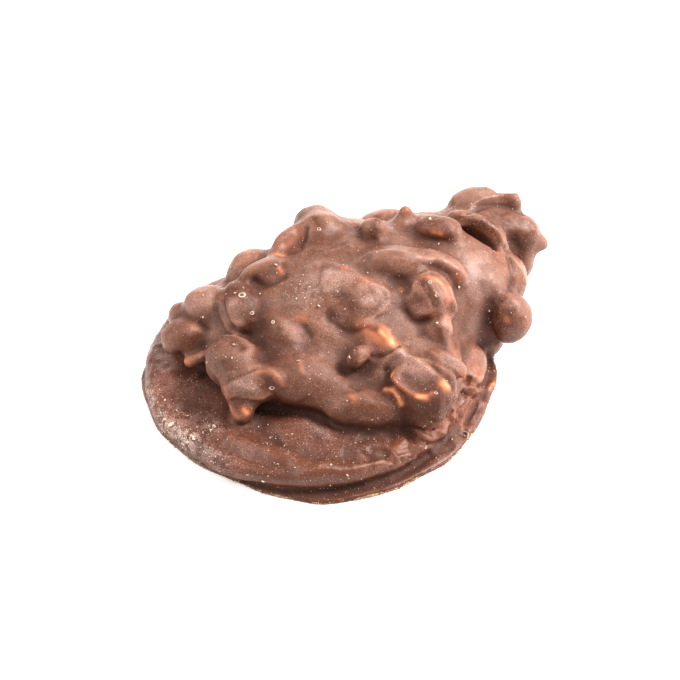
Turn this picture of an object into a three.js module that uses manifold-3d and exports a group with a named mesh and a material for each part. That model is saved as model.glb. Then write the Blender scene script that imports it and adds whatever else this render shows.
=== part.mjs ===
// Pecan chocolate cluster: a round puddle of milk chocolate with a mound of coated pecan pieces on it.
// Millimetres, +Z up. The origin is on the flat underside, in the middle of the whole outline.
// Chocolate sets in one piece, so the cluster is one closed solid.
//
// The shape is a distance field: negative inside the chocolate, positive outside. The puddle, the mound
// under the nuts and each coated nut are simple forms, and a smooth minimum melts them together the way
// chocolate fills the corner between two nuts. One pass over a grid of cells turns the field into facets,
// and one cut leaves the flat face that the cluster rests on.

import * as THREE from 'three';
import { mergeVertices } from 'three/addons/utils/BufferGeometryUtils.js';
import Module from 'manifold-3d';

// Puddle, in its own frame: its middle is the zero of every place given below.
const PUDDLE_CENTRE = new THREE.Vector3(-5.2, -1.6, 0);
const PUDDLE_RADIUS = 31.0;
const PUDDLE_HEIGHT = 5.4;
const PUDDLE_EDGE_ROUND = 2.2;
const PUDDLE_SLUMP = 0.001;
const PUDDLE_MELT = 0.7;
const FOOT_HEIGHT = 1.3;
const GROOVE_DEPTH = 2.4;
const LEFT_SPREAD = 1.4;

// Facets.
const CELL = 1.4;
const BELOW_BASE = 2 * CELL;
const GRID_LOW = new THREE.Vector3(-35.1, -33.8, -BELOW_BASE);
const GRID_HIGH = new THREE.Vector3(45.5, 40.3, 26.0);
const SETTLE_STEPS = 2;
const SETTLE_LIMIT = 0.3 * CELL;
const SLOPE_STEP = 0.05;
const PINCH_PASSES = 3;
const PINCH_FILL = -0.1 * CELL;

const CHOCOLATE_COLOUR = 0x9a6a5b;
const CHOCOLATE_ROUGHNESS = 0.45;

// One rounded form. Its half sizes are along its length, its width and its thickness. The turn is the
// heading of its length, its rise above level and its roll, in degrees. A squareness of 2 is an
// ellipsoid and 3 is a block with soft edges. The melt is how far it blends into what is round it.
function form(place, halfSizes, turn = [0, 0, 0], squareness = 2, melt = 1) {
  return {
    place: new THREE.Vector3(...place),
    halfSizes,
    axes: turnedAxes(...turn.map(THREE.MathUtils.degToRad)),
    squareness,
    melt,
    reach: Math.max(...halfSizes) + melt + 2 * CELL,
  };
}

function turnedAxes(heading, rise, roll) {
  const length = new THREE.Vector3(Math.cos(rise), 0, Math.sin(rise));
  length.applyAxisAngle(new THREE.Vector3(0, 0, 1), heading);
  const level = new THREE.Vector3(-Math.sin(heading), Math.cos(heading), 0);
  const width = level.applyAxisAngle(length, roll);
  const thickness = new THREE.Vector3().crossVectors(length, width);
  return [length, width, thickness];
}

// The soft mound under the nuts, from the middle outwards.
const MOUND = {
  dome: form([6.0, 10.5, 6.0], [23.5, 18.5, 16.0], [15, 0, 0], 2.1, 5),
  right: form([22.0, 16.0, 8.0], [14.5, 13.5, 12.3], [30, 0, 0], 2, 5),
  left: form([-15.0, 5.0, 6.0], [11.5, 11.5, 9.0], [0, 0, 0], 2, 5),
  front_right: form([15.5, -4.5, 6.0], [13.0, 10.5, 8.8], [0, 0, 0], 2.2, 5),
  front_left: form([-3.0, -5.5, 5.5], [14.0, 9.0, 9.0], [0, 0, 0], 2.2, 5),
  far_side: form([4.5, 17.5, 7.0], [13.0, 11.5, 14.2], [0, 0, 0], 2, 5),
  tail_root: form([19.0, 24.0, 8.5], [11.0, 8.0, 9.5], [10, 0, 0], 2, 4),
};

// Coated pecan pieces that show from the front, from left to right.
const LEFT_END = {
  shoulder: form([-20.8, 6.3, 12.8], [4.2, 3.7, 3.6], [30, 0, 0], 2, 2.2),
  far_bump: form([-24.8, 6.8, 9.4], [2.6, 2.4, 3.0], [60, 0, 0], 2, 1.2),
  end_nut: form([-24.6, 1.2, 9.4], [4.3, 3.4, 3.4], [25, 18, 0], 2.3, 1.4),
  stub: form([-22.2, -2.6, 7.7], [3.2, 1.8, 1.8], [15, 25, 0], 2.8, 0.6),
};

const UPPER_LEFT = {
  edge_nut: form([-12.6, 14.0, 14.6], [4.4, 3.2, 3.4], [30, 5, 0], 2, 2),
  pillow: form([-9.8, 9.4, 17.9], [4.8, 2.2, 2.2], [22, 10, 0], 2.3, 0.9),
  bead: form([-7.2, 13.4, 18.5], [2.0, 1.3, 1.5], [8, 0, 0], 2, 0.8),
  leaning_piece: form([-5.4, 17.2, 18.4], [3.6, 1.9, 2.3], [50, 5, 0], 2.2, 0.9),
  crown: form([0.2, 18.6, 20.2], [4.2, 3.6, 3.2], [10, 0, 0], 2, 2.2),
  crown_back: form([-0.6, 22.6, 17.2], [4.6, 3.6, 4.0], [20, 0, 0], 2, 2),
};

const FAR_EDGE = {
  small_ball: form([9.3, 17.6, 21.4], [2.0, 2.1, 2.6], [0, 0, 0], 2, 1.2),
  cone: form([15.5, 24.0, 19.0], [1.7, 1.7, 3.0], [0, 0, 0], 2, 1.8),
  far_nut: form([21.2, 18.6, 20.2], [4.5, 3.2, 3.4], [-12, 0, 0], 2.4, 0.9),
  fin: form([28.6, 23.0, 18.0], [5.6, 1.7, 2.3], [-16, -12, 0], 2.3, 0.9),
  fin_end: form([33.2, 20.4, 15.0], [3.8, 1.6, 1.9], [-85, -42, 0], 2.3, 0.9),
};

const RIGHT_END = {
  inner_shoulder: form([28.5, 11.5, 12.4], [5.5, 5.0, 5.4], [0, 0, 0], 2.2, 2.5),
  shoulder: form([34.3, 16.6, 10.0], [3.9, 4.4, 5.2], [0, 0, 0], 2.2, 1.6),
  ball: form([34.4, 6.6, 9.2], [4.1, 4.1, 4.6], [0, 0, 0], 2, 0.8),
  skirt: form([29.5, 10.0, 5.0], [4.4, 8.0, 6.0], [0, 0, 0], 2.2, 2),
};

const MIDDLE = {
  broad_nut: form([5.2, 4.0, 18.9], [7.4, 5.4, 3.4], [-14, 0, 0], 2.3, 1.8),
  broad_nut_ridge: form([5.2, 0.6, 17.9], [3.8, 1.7, 3.0], [-95, -34, 0], 2, 1.4),
  broad_nut_seam: form([-0.4, 7.6, 20.2], [3.0, 1.5, 1.6], [-90, -6, 0], 2, 2),
  bright_tip: form([10.4, -4.6, 15.0], [3.6, 2.5, 2.3], [-18, -8, 0], 2.6, 0.8),
  small_cone: form([7.0, -9.0, 13.4], [2.6, 1.8, 2.4], [38, 18, 0], 2, 0.9),
  slant_ridge: form([-6.6, -3.8, 14.8], [4.2, 2.4, 2.2], [-52, -14, 0], 2, 1.8),
  tear: form([-3.6, -9.9, 12.8], [1.3, 1.7, 1.5], [0, 0, 0], 2, 0.8),
};

const RIGHT_OF_MIDDLE = {
  crest: form([13.6, 8.8, 19.4], [6.6, 4.2, 3.4], [0, -4, -28], 2.3, 1.8),
  crest_end: form([21.4, 9.2, 18.7], [5.4, 2.1, 2.5], [-20, -16, 0], 2.4, 0.8),
  ringed_nut: form([19.8, 3.2, 16.9], [4.8, 4.0, 4.0], [95, 0, 0], 2.4, 1.4),
  ringed_nut_edge: form([23.2, 2.2, 17.2], [3.2, 1.3, 1.9], [-75, -34, 0], 2.2, 0.8),
  ringed_nut_nub: form([20.4, 1.6, 19.5], [2.8, 1.4, 1.6], [-60, -36, 0], 2.2, 0.6),
  pointed_bump: form([21.4, -1.8, 14.8], [2.8, 2.0, 2.2], [-20, -10, 0], 2, 1.6),
};

const LEFT_OF_MIDDLE = {
  bean: form([-14.4, 2.8, 14.9], [5.2, 2.9, 3.3], [-86, -22, 0], 2.5, 0.8),
  round_nut: form([-15.2, -6.4, 12.0], [5.2, 4.3, 5.0], [-35, 0, 0], 2.5, 1.2),
  wedge: form([-12.4, -12.4, 10.4], [4.9, 3.4, 3.8], [6, 0, 0], 2.8, 0.8),
  wedge_tip: form([-13.2, -14.4, 8.0], [3.6, 2.3, 2.6], [-105, -50, 0], 2.3, 0.8),
  wedge_ring: form([-8.4, -12.6, 11.6], [2.6, 1.8, 3.0], [-24, -18, 0], 2.2, 0.8),
};

const FRONT = {
  bulge: form([-3.0, -10.5, 9.6], [8.0, 5.0, 5.2], [0, 0, 0], 2, 2.5),
  long_nut: form([7.4, -15.2, 7.9], [6.8, 3.3, 3.3], [-8, 0, 0], 2.3, 1),
  sliver: form([13.0, -14.2, 10.2], [2.2, 1.2, 1.7], [-45, -34, 0], 2.2, 0.6),
  block: form([18.0, -13.8, 10.6], [5.7, 4.6, 4.5], [-25, -6, 0], 3.2, 0.8),
  block_fin: form([23.6, -9.2, 11.8], [4.2, 1.9, 2.3], [-20, -20, 0], 2.2, 0.8),
  block_bump: form([13.4, -8.0, 14.2], [2.2, 2.2, 2.0], [0, 0, 0], 2, 1.5),
};

// The piece that sticks out past the puddle, with its ridges.
const TAIL = {
  body: form([28.5, 27.0, 12.2], [9.5, 7.0, 6.0], [20, -4, 0], 2.1, 3),
  top: form([28.8, 31.4, 16.1], [5.2, 3.2, 3.2], [12, 0, 0], 2.2, 1.4),
  ridge: form([33.4, 31.4, 15.2], [5.2, 1.9, 2.8], [14, 0, 0], 2.6, 0.9),
  lobe: form([34.6, 26.4, 11.6], [6.4, 4.4, 4.6], [0, -10, 0], 2.3, 1.2),
  point: form([39.4, 25.9, 10.4], [3.2, 1.8, 2.4], [0, -12, 0], 2, 1.6),
};

// The far side, which is as lumpy as the rest.
const BACK = {
  low_left: form([-15.0, 14.5, 8.0], [4.8, 3.8, 3.8], [40, 0, 0], 2.2, 1.6),
  high_left: form([-8.0, 21.0, 9.2], [5.0, 3.2, 3.8], [30, 0, 0], 2.2, 1.2),
  high_middle: form([1.5, 27.0, 10.8], [4.6, 3.2, 4.0], [-10, 0, 0], 2.2, 1.2),
  low_middle: form([-3.5, 25.0, 6.2], [4.4, 3.2, 3.0], [15, 0, 0], 2.2, 1.2),
  high_right: form([11.5, 30.0, 11.5], [5.4, 3.0, 3.6], [10, 10, 0], 2.3, 1),
  low_right: form([9.5, 30.0, 5.6], [5.0, 3.0, 3.2], [0, 0, 0], 2.4, 1),
  under_tail: form([20.5, 31.0, 8.2], [5.2, 3.4, 4.2], [-14, 8, 0], 2.3, 1.2),
};

const NUT_GROUPS = [
  LEFT_END, UPPER_LEFT, FAR_EDGE, RIGHT_END, MIDDLE, RIGHT_OF_MIDDLE, LEFT_OF_MIDDLE, FRONT, TAIL, BACK,
];

// Places where the chocolate sinks in: behind the fin and on top of the block.
const HOLLOWS = {
  under_fin: form([29.0, 19.4, 17.4], [4.4, 1.6, 2.2], [-24, -16, 0], 2, 0.8),
  block_top: form([16.6, -14.4, 15.6], [3.6, 2.8, 1.6], [-25, -10, 25], 2.2, 0.8),
};

const FORMS = [...Object.values(MOUND), ...NUT_GROUPS.flatMap((group) => Object.values(group))];

// Melts two distances together: the smaller one, with a fillet about as wide as the melt.
function meltTogether(a, b, melt) {
  const overlap = Math.max(melt - Math.abs(a - b), 0) / melt;
  return Math.min(a, b) - overlap * overlap * melt * 0.25;
}

function carveAway(a, hollow, melt) {
  return -meltTogether(-a, hollow, melt);
}

// Distance to one rounded form, near enough for the melting: its size ratio over the slope of it.
function distanceToForm(point, { place, halfSizes, axes, squareness }) {
  const offset = point.clone().sub(place);
  const ratios = axes.map((axis, k) => Math.abs(offset.dot(axis)) / halfSizes[k] + 1e-6);
  const powers = ratios.reduce((sum, ratio) => sum + ratio ** squareness, 0);
  const size = powers ** (1 / squareness);
  const slopes = ratios.map((ratio, k) => (ratio / size) ** (squareness - 1) / halfSizes[k]);
  return (size - 1) / Math.hypot(...slopes);
}

// Distance to a flat round slab whose upper edge has the given round.
function distanceToSlab(radius, height, x, y, z, round) {
  const outwards = Math.hypot(x, y) - (radius - round);
  const upwards = z - (height - round);
  const corner = Math.hypot(Math.max(outwards, 0), Math.max(upwards, 0));
  return corner + Math.min(Math.max(outwards, upwards), 0) - round;
}

// The puddle: an uneven round slab that slumps towards its edge, and below it a thin foot. The groove
// between the two runs along the front right, and the puddle spread a little further on the left.
function distanceToPuddle({ x, y, z }) {
  const around = Math.atan2(y, x);
  const fromLeft = Math.abs(Math.atan2(Math.sin(around - 2.85), Math.cos(around - 2.85)));
  const spread = LEFT_SPREAD * Math.exp(-((fromLeft / 0.35) ** 2));
  const groove = 0.5 + GROOVE_DEPTH * Math.max(Math.cos(around + 0.55), 0) ** 2;
  const waver = 0.35 * Math.sin(3 * around + 0.6) + 0.25 * Math.sin(5 * around + 2) + 0.12 * Math.sin(11 * around);
  const fromMiddle = Math.hypot(x, y) - 8;
  const folds = 0.3 * Math.sin(0.33 * x + 0.21 * y) * Math.cos(0.4 * y - 0.1 * x);
  const top = PUDDLE_HEIGHT - PUDDLE_SLUMP * fromMiddle ** 2 + folds;
  const slab = distanceToSlab(PUDDLE_RADIUS - groove + waver + spread, top, x, y, z, PUDDLE_EDGE_ROUND);
  const footWaver = 0.3 * Math.sin(4 * around + 1) + 0.25 * Math.sin(7 * around) + 0.15 * Math.sin(16 * around + 1);
  const foot = distanceToSlab(PUDDLE_RADIUS + footWaver + spread, FOOT_HEIGHT, x, y, z, 0);
  return meltTogether(slab, foot, PUDDLE_MELT);
}

// Below the base the walls carry straight on down, so that the cut at the base is a clean one.
function distanceToCluster(where) {
  const point = where.clone().setZ(Math.max(where.z, 0));
  let distance = 2 * CELL;
  for (const piece of FORMS) {
    if (point.distanceTo(piece.place) < piece.reach) {
      distance = meltTogether(distance, distanceToForm(point, piece), piece.melt);
    }
  }
  for (const hollow of Object.values(HOLLOWS)) {
    if (point.distanceTo(hollow.place) < hollow.reach) {
      distance = carveAway(distance, distanceToForm(point, hollow), hollow.melt);
    }
  }
  return meltTogether(distance, distanceToPuddle(point), PUDDLE_MELT);
}

function slopeAt(point) {
  const along = (axis) => {
    const step = new THREE.Vector3().setComponent(axis, SLOPE_STEP);
    const ahead = distanceToCluster(point.clone().add(step));
    const behind = distanceToCluster(point.clone().sub(step));
    return (ahead - behind) / (2 * SLOPE_STEP);
  };
  return new THREE.Vector3(along(0), along(1), along(2));
}

// Moves a corner of the facets straight to the surface, by a short way at most.
function settle(point) {
  for (let step = 0; step < SETTLE_STEPS; step += 1) {
    const slope = slopeAt(point);
    const away = distanceToCluster(point) / Math.max(slope.length(), 0.3);
    const move = THREE.MathUtils.clamp(away, -SETTLE_LIMIT, SETTLE_LIMIT);
    point.addScaledVector(slope.normalize(), -move);
  }
  return point;
}

// The distances at the corners of a grid of cubic cells.
function measureGrid() {
  const size = GRID_HIGH.clone().sub(GRID_LOW).divideScalar(CELL).ceil();
  const count = [size.x + 1, size.y + 1, size.z + 1];
  const stride = [1, count[0], count[0] * count[1]];
  const distances = new Float32Array(count[0] * count[1] * count[2]);
  const cornerAt = (i, j, k) => new THREE.Vector3(i, j, k).multiplyScalar(CELL).add(GRID_LOW);
  for (let k = 1; k < count[2] - 1; k += 1) {
    for (let j = 0; j < count[1]; j += 1) {
      for (let i = 0; i < count[0]; i += 1) {
        distances[i + j * stride[1] + k * stride[2]] = distanceToCluster(cornerAt(i, j, k));
      }
    }
  }
  distances.fill(CELL, 0, stride[2]);
  distances.fill(CELL, (count[2] - 1) * stride[2]);
  fillPinches(distances, stride);
  return { count, stride, distances, cornerAt };
}

// Where two nuts nearly touch, the four corners of a square of the grid can be in, out, in, out. The
// facets would then meet along a single line, so the gap is filled with a little chocolate.
function fillPinches(distances, stride) {
  for (let pass = 0; pass < PINCH_PASSES; pass += 1) {
    for (let from = 0; from < distances.length - stride[2] - stride[1] - 1; from += 1) {
      const nearSurface = Math.abs(distances[from]) < 2 * CELL;
      for (let axis = 0; nearSurface && axis < 3; axis += 1) {
        const square = [from, from + stride[axis], 0, from + stride[(axis + 1) % 3]];
        square[2] = square[1] + square[3] - from;
        const inside = square.map((corner) => distances[corner] < 0);
        const pinched = inside[0] === inside[2] && inside[1] === inside[3] && inside[0] !== inside[1];
        if (pinched) {
          const outside = square.filter((corner) => distances[corner] >= 0);
          const nearest = outside.sort((a, b) => distances[a] - distances[b])[0];
          distances[nearest] = PINCH_FILL;
        }
      }
    }
  }
}

// The middle of the places where the surface crosses the twelve edges of one cell, or null.
function middleOfCrossings({ stride, distances, cornerAt }, i, j, k) {
  const first = i + j * stride[1] + k * stride[2];
  const sum = new THREE.Vector3();
  let crossings = 0;
  for (let edge = 0; edge < 12; edge += 1) {
    const axis = edge >> 2;
    const side = [(axis + 1) % 3, (axis + 2) % 3];
    const start = [0, 0, 0];
    start[side[0]] = edge & 1;
    start[side[1]] = (edge >> 1) & 1;
    const from = first + start[0] + start[1] * stride[1] + start[2] * stride[2];
    const a = distances[from];
    const b = distances[from + stride[axis]];
    if (a < 0 !== b < 0) {
      start[axis] = a / (a - b);
      sum.add(cornerAt(i + start[0], j + start[1], k + start[2]));
      crossings += 1;
    }
  }
  return crossings ? sum.divideScalar(crossings) : null;
}

// Two facets across the shorter diagonal of four corners.
function splitQuad([a, b, c, d], corners) {
  const one = corners[a].distanceTo(corners[c]);
  const other = corners[b].distanceTo(corners[d]);
  return one < other ? [a, b, c, a, c, d] : [b, c, d, b, d, a];
}

// One corner of the facets in each cell that the surface passes through, and one four-sided facet
// round each edge of the grid that it crosses.
function facetsOfField() {
  const grid = measureGrid();
  const { count, stride, distances } = grid;
  const cornerOfCell = new Map();
  const corners = [];
  const faces = [];
  for (let k = 0; k < count[2] - 1; k += 1) {
    for (let j = 0; j < count[1] - 1; j += 1) {
      for (let i = 0; i < count[0] - 1; i += 1) {
        const middle = middleOfCrossings(grid, i, j, k);
        if (middle) {
          cornerOfCell.set(i + j * stride[1] + k * stride[2], corners.length);
          corners.push(middle.z > 0 ? settle(middle) : middle);
        }
      }
    }
  }
  for (const cell of cornerOfCell.keys()) {
    for (let axis = 0; axis < 3; axis += 1) {
      const before = stride[(axis + 1) % 3];
      const beside = stride[(axis + 2) % 3];
      const inside = distances[cell] < 0;
      const ring = [cell, cell - before, cell - before - beside, cell - beside];
      const crossed = inside !== distances[cell + stride[axis]] < 0;
      if (crossed && ring.every((one) => cornerOfCell.has(one))) {
        const quad = ring.map((one) => cornerOfCell.get(one));
        faces.push(...splitQuad(inside ? quad : quad.reverse(), corners));
      }
    }
  }
  return { corners, faces };
}

function geometryFrom(positions, faces) {
  const geometry = new THREE.BufferGeometry();
  geometry.setAttribute('position', new THREE.Float32BufferAttribute(positions, 3));
  geometry.setIndex(Array.from(faces));
  return geometry;
}

const wasm = await Module();
wasm.setup();

function solidFrom(geometry) {
  const bare = geometry.clone();
  bare.deleteAttribute('normal');
  bare.deleteAttribute('uv');
  const merged = mergeVertices(bare);
  const vertProperties = new Float32Array(merged.getAttribute('position').array);
  const triVerts = new Uint32Array(merged.getIndex().array);
  return new wasm.Manifold(new wasm.Mesh({ numProp: 3, vertProperties, triVerts }));
}

function geometryOf(solid) {
  const mesh = solid.getMesh();
  const geometry = geometryFrom(mesh.vertProperties, mesh.triVerts);
  geometry.computeVertexNormals();
  return geometry;
}

// Everything below the base, to cut away from the melted forms.
function slabBelowBase() {
  const depth = 2 * BELOW_BASE;
  const width = 4 * PUDDLE_RADIUS;
  const box = new THREE.BoxGeometry(width, width, depth);
  return box.translate(0, 0, -depth / 2);
}

function clusterGeometry() {
  const { corners, faces } = facetsOfField();
  const melted = geometryFrom(corners.flatMap((corner) => corner.toArray()), faces);
  return geometryOf(solidFrom(melted).subtract(solidFrom(slabBelowBase())));
}

const chocolate = new THREE.MeshStandardMaterial({
  color: CHOCOLATE_COLOUR,
  roughness: CHOCOLATE_ROUGHNESS,
  metalness: 0,
});

const cluster = new THREE.Mesh(clusterGeometry(), chocolate);
cluster.name = 'cluster';
cluster.position.copy(PUDDLE_CENTRE);

const model = new THREE.Group();
model.add(cluster);

export default model;
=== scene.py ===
# %% [markdown]
# # A pecan chocolate cluster
#
# The candy is a round puddle of milk chocolate that has set flat on its back, with a mound of pecan
# pieces on it. Every piece of nut was stirred into the chocolate first, so nuts, mound and puddle are
# one skin with no seam. It could be sculpted by hand, but then nobody could change it later. Here each
# nut is a simple rounded form at a named place, and the chocolate is what melts the forms together.
#
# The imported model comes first. It says how large the cluster is and where its flat underside lies.

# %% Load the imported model
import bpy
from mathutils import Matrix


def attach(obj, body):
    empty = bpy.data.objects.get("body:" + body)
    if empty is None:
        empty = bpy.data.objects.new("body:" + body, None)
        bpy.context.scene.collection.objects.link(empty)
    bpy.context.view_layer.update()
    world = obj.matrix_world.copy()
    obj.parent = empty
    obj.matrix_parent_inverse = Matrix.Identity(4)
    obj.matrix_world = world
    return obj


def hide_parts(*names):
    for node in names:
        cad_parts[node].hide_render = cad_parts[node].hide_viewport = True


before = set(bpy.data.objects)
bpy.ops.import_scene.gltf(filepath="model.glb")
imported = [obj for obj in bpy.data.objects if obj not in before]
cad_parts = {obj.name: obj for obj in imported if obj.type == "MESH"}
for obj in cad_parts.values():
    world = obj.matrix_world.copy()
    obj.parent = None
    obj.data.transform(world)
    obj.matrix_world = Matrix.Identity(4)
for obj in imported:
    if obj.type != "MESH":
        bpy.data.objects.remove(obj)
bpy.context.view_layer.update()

import math
from collections import namedtuple
from contextlib import contextmanager
from types import SimpleNamespace

import bpy
import numpy as np
from mathutils import Euler, Vector
from mathutils.bvhtree import BVHTree

MM = 0.001
PUDDLE_CENTRE = Vector((-5.2, -1.6, 0.0))  # millimetres, as every place and size below
NODE = "cluster"

# %% [markdown]
# ## The camera
#
# The photograph looks down at the candy from about 42 degrees, from far enough away that the near and
# the far side have nearly the same scale. A long lens at 400 mm gives that look. The camera comes before
# the modelling, because some small marks are placed by the pixel at which the photograph shows them.

# %% Place the camera
CAMERA_RISE = math.radians(42)
CAMERA_DISTANCE = 400.0
CAMERA_AIM = PUDDLE_CENTRE + Vector((3.6, 0.0, 10.0))
PHOTO_SIZE = 680
PHOTO_PIXELS_PER_MM = 5.6
SENSOR_WIDTH = 36.0

focal_pixels = PHOTO_PIXELS_PER_MM * CAMERA_DISTANCE
back_from_aim = Vector((0.0, -math.cos(CAMERA_RISE), math.sin(CAMERA_RISE)))

camera_data = bpy.data.cameras.new("camera")
camera_data.lens = focal_pixels / PHOTO_SIZE * SENSOR_WIDTH
camera_data.sensor_width = SENSOR_WIDTH
camera = bpy.data.objects.new("camera", camera_data)
camera.location = (CAMERA_AIM + back_from_aim * CAMERA_DISTANCE) * MM
camera.rotation_euler = (math.pi / 2 - CAMERA_RISE, 0.0, 0.0)
bpy.context.scene.collection.objects.link(camera)
bpy.context.scene.camera = camera
bpy.context.view_layer.update()


def sight_line(pixel):
    """The direction from the camera through a pixel of the photograph."""
    across, down = pixel
    half = PHOTO_SIZE / 2
    aim = Vector((across - half, half - down, -focal_pixels))
    return (camera.matrix_world.to_3x3() @ aim).normalized()


print("lens", round(camera_data.lens, 1), "mm, camera at", [round(v / MM) for v in camera.location], "mm")

# %% [markdown]
# ## Working by hand, in code
#
# Each form is made as a modeller would make it: add a primitive, shape it in edit mode, finish it with
# a modifier and apply that. Operators act on whatever is selected, so everything is deselected first.

# %% Small helpers for selecting and applying
def pick(*pieces):
    bpy.ops.object.select_all(action="DESELECT")
    for piece in pieces:
        piece.select_set(True)
    bpy.context.view_layer.objects.active = pieces[0]


def apply_modifier(piece, kind, **settings):
    pick(piece)
    modifier = piece.modifiers.new(kind.lower(), kind)
    for name, value in settings.items():
        setattr(modifier, name, value)
    bpy.ops.object.modifier_apply(modifier=modifier.name)


def apply_place(piece):
    pick(piece)
    bpy.ops.object.transform_apply(location=True, rotation=True, scale=True)


def joined(pieces, name):
    pick(*pieces)
    bpy.ops.object.join()
    whole = bpy.context.active_object
    whole.name = name
    return whole


def faces_of(piece):
    return len(piece.data.polygons)


@contextmanager
def editing(piece):
    """Edit mode with all of a piece selected, for the lines of a with block."""
    pick(piece)
    bpy.ops.object.mode_set(mode="EDIT")
    bpy.ops.mesh.select_all(action="SELECT")
    yield
    bpy.ops.object.mode_set(mode="OBJECT")


# %% [markdown]
# ## One coated piece
#
# A pecan piece under its coat is neither a ball nor a box. A cube that is cut finely and then cast
# towards a sphere gives everything between the two: fully cast it is an ellipsoid, and partly cast it is
# a block with soft edges. The number called squareness says how far: 2 is an ellipsoid, 3 is blocky.

# %% Make a rounded form from a cube
CUBE_CUTS = 7
CUBE_CORNER = math.sqrt(3)


def rounded_form(place, half_sizes, turn=(0, 0, 0), squareness=2.0):
    """A form with its half sizes along its length, width and thickness, turned by heading, rise, roll."""
    bpy.ops.object.select_all(action="DESELECT")
    bpy.ops.mesh.primitive_cube_add(size=2)
    form = bpy.context.active_object
    with editing(form):
        bpy.ops.mesh.subdivide(number_cuts=CUBE_CUTS)
    corner = 3 ** (0.5 - 1 / squareness)  # how far out the corner of such a form lies
    cast = (CUBE_CORNER - corner) / (CUBE_CORNER - 1)
    apply_modifier(form, "CAST", cast_type="SPHERE", factor=cast, size=1.0, use_radius_as_size=False)
    heading, rise, roll = (math.radians(angle) for angle in turn)
    form.rotation_euler = Euler((roll, -rise, heading))
    form.scale = Vector(half_sizes) * MM
    form.location = (PUDDLE_CENTRE + Vector(place)) * MM
    apply_place(form)
    return form


# %% [markdown]
# ## Dipping in chocolate
#
# Chocolate fills the corner between two nuts and leaves their tops thin. The same happens to a mesh that
# is swollen, remeshed and shrunk back: what is convex returns to where it was, and what is concave keeps
# a fillet as wide as the swelling. A thick dip hides small gaps, and a thin one keeps the pieces apart.

# %% Dip a mesh
def remesh(piece, voxel):
    apply_modifier(piece, "REMESH", mode="VOXEL", voxel_size=voxel * MM, adaptivity=0.0)


def dip(piece, coat, voxel, smoothing):
    """Fills the concave corners of a piece with a fillet as wide as the coat."""
    apply_modifier(piece, "DISPLACE", strength=coat * MM, mid_level=0.0)
    remesh(piece, voxel)
    apply_modifier(piece, "DISPLACE", strength=-coat * MM, mid_level=0.0)
    remesh(piece, voxel)
    apply_modifier(piece, "SMOOTH", factor=0.5, iterations=smoothing)
    return piece


# %% [markdown]
# ## The mound
#
# Under the nuts that show lies a heap of nuts that don't. Its outside is soft, so a few large forms under
# a thick dip are enough. It leans to the back right, past the edge of the puddle.

# %% Build the mound
MOUND = {
    "dome": ((6.0, 10.5, 6.0), (23.9, 18.9, 16.2), (15, 0, 0), 2.1),
    "right": ((22.0, 16.0, 8.0), (14.9, 13.9, 12.6), (30, 0, 0), 2),
    "left": ((-14.6, 6.2, 6.0), (10.8, 10.6, 9.4), (0, 0, 0), 2),
    "front_right": ((14.6, -4.3, 6.0), (11.2, 10.7, 9.2), (0, 0, 0), 2.2),
    "front_left": ((-3.0, -5.0, 5.5), (13.6, 8.8, 8.8), (0, 0, 0), 2.2),
    "far_side": ((4.5, 17.5, 7.0), (13.4, 11.9, 14.4), (0, 0, 0), 2),
    "tail_root": ((19.0, 24.0, 8.5), (11.4, 8.4, 9.8), (10, 0, 0), 2),
}
MOUND_COAT = 3.0
MOUND_VOXEL = 0.9

mound = joined([rounded_form(*form) for form in MOUND.values()], "mound")
remesh(mound, MOUND_VOXEL)
dip(mound, MOUND_COAT, MOUND_VOXEL, smoothing=8)
print("mound:", faces_of(mound), "faces")

# %% [markdown]
# ## Nuts under a thick coat
#
# Some nuts went deep into the chocolate and show only as swellings. They are dipped together with the
# mound, thick enough that each one runs softly into the next.

# %% Add the deep nuts
DEEP_NUTS = {
    "left_edge_nut": ((-12.8, 14.2, 15.0), (4.6, 3.2, 3.6), (30, 5, 0)),
    "crown": ((0.2, 18.6, 20.2), (4.2, 3.6, 3.2), (10, 0, 0)),
    "crown_back": ((-1.0, 22.6, 18.0), (4.4, 3.6, 4.2), (20, 0, 0)),
    "far_cone": ((15.5, 24.0, 19.0), (1.7, 1.7, 3.0)),
    "inner_shoulder": ((28.5, 11.5, 12.4), (5.5, 5.0, 5.4), (0, 0, 0), 2.2),
    "right_shoulder": ((34.3, 16.6, 10.0), (3.9, 4.4, 5.2), (0, 0, 0), 2.2),
    "right_skirt": ((30.2, 11.4, 3.6), (4.2, 6.6, 5.4), (0, 0, 0), 2.2),
    "broad_nut": ((5.2, 4.0, 18.9), (7.4, 5.4, 3.4), (-14, 0, 0), 2.3),
    "broad_nut_seam": ((-0.4, 7.6, 20.2), (3.0, 1.5, 1.6), (-90, -6, 0)),
    "bean_side": ((-10.9, 4.4, 14.4), (3.0, 4.2, 2.8)),
    "slant_ridge": ((-6.6, -3.8, 15.0), (4.4, 2.2, 2.4), (-52, -14, 0)),
    "pointed_bump": ((21.4, -1.8, 14.8), (2.8, 2.0, 2.2), (-20, -10, 0)),
    "block_bump": ((13.4, -8.0, 14.2), (2.2, 2.2, 2.0)),
    "front_bulge": ((-3.0, -10.3, 10.0), (7.6, 5.0, 4.6), (0, 0, 0)),
    "front_slope": ((1.8, -12.6, 8.6), (6.2, 3.6, 4.0)),
    "tail_body": ((28.5, 27.0, 12.2), (9.5, 7.0, 6.0), (20, -4, 0), 2.1),
    "back_low_left": ((-15.0, 14.5, 8.0), (4.8, 3.8, 3.8), (40, 0, 0), 2.2),
}
DEEP_COAT = 1.0
DEEP_VOXEL = 0.6

deep_nuts = [rounded_form(*nut) for nut in DEEP_NUTS.values()]
heap = joined([mound, *deep_nuts], "heap")
remesh(heap, DEEP_VOXEL)
dip(heap, DEEP_COAT, DEEP_VOXEL, smoothing=3)
print("heap:", len(deep_nuts), "deep nuts,", faces_of(heap), "faces")

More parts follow.
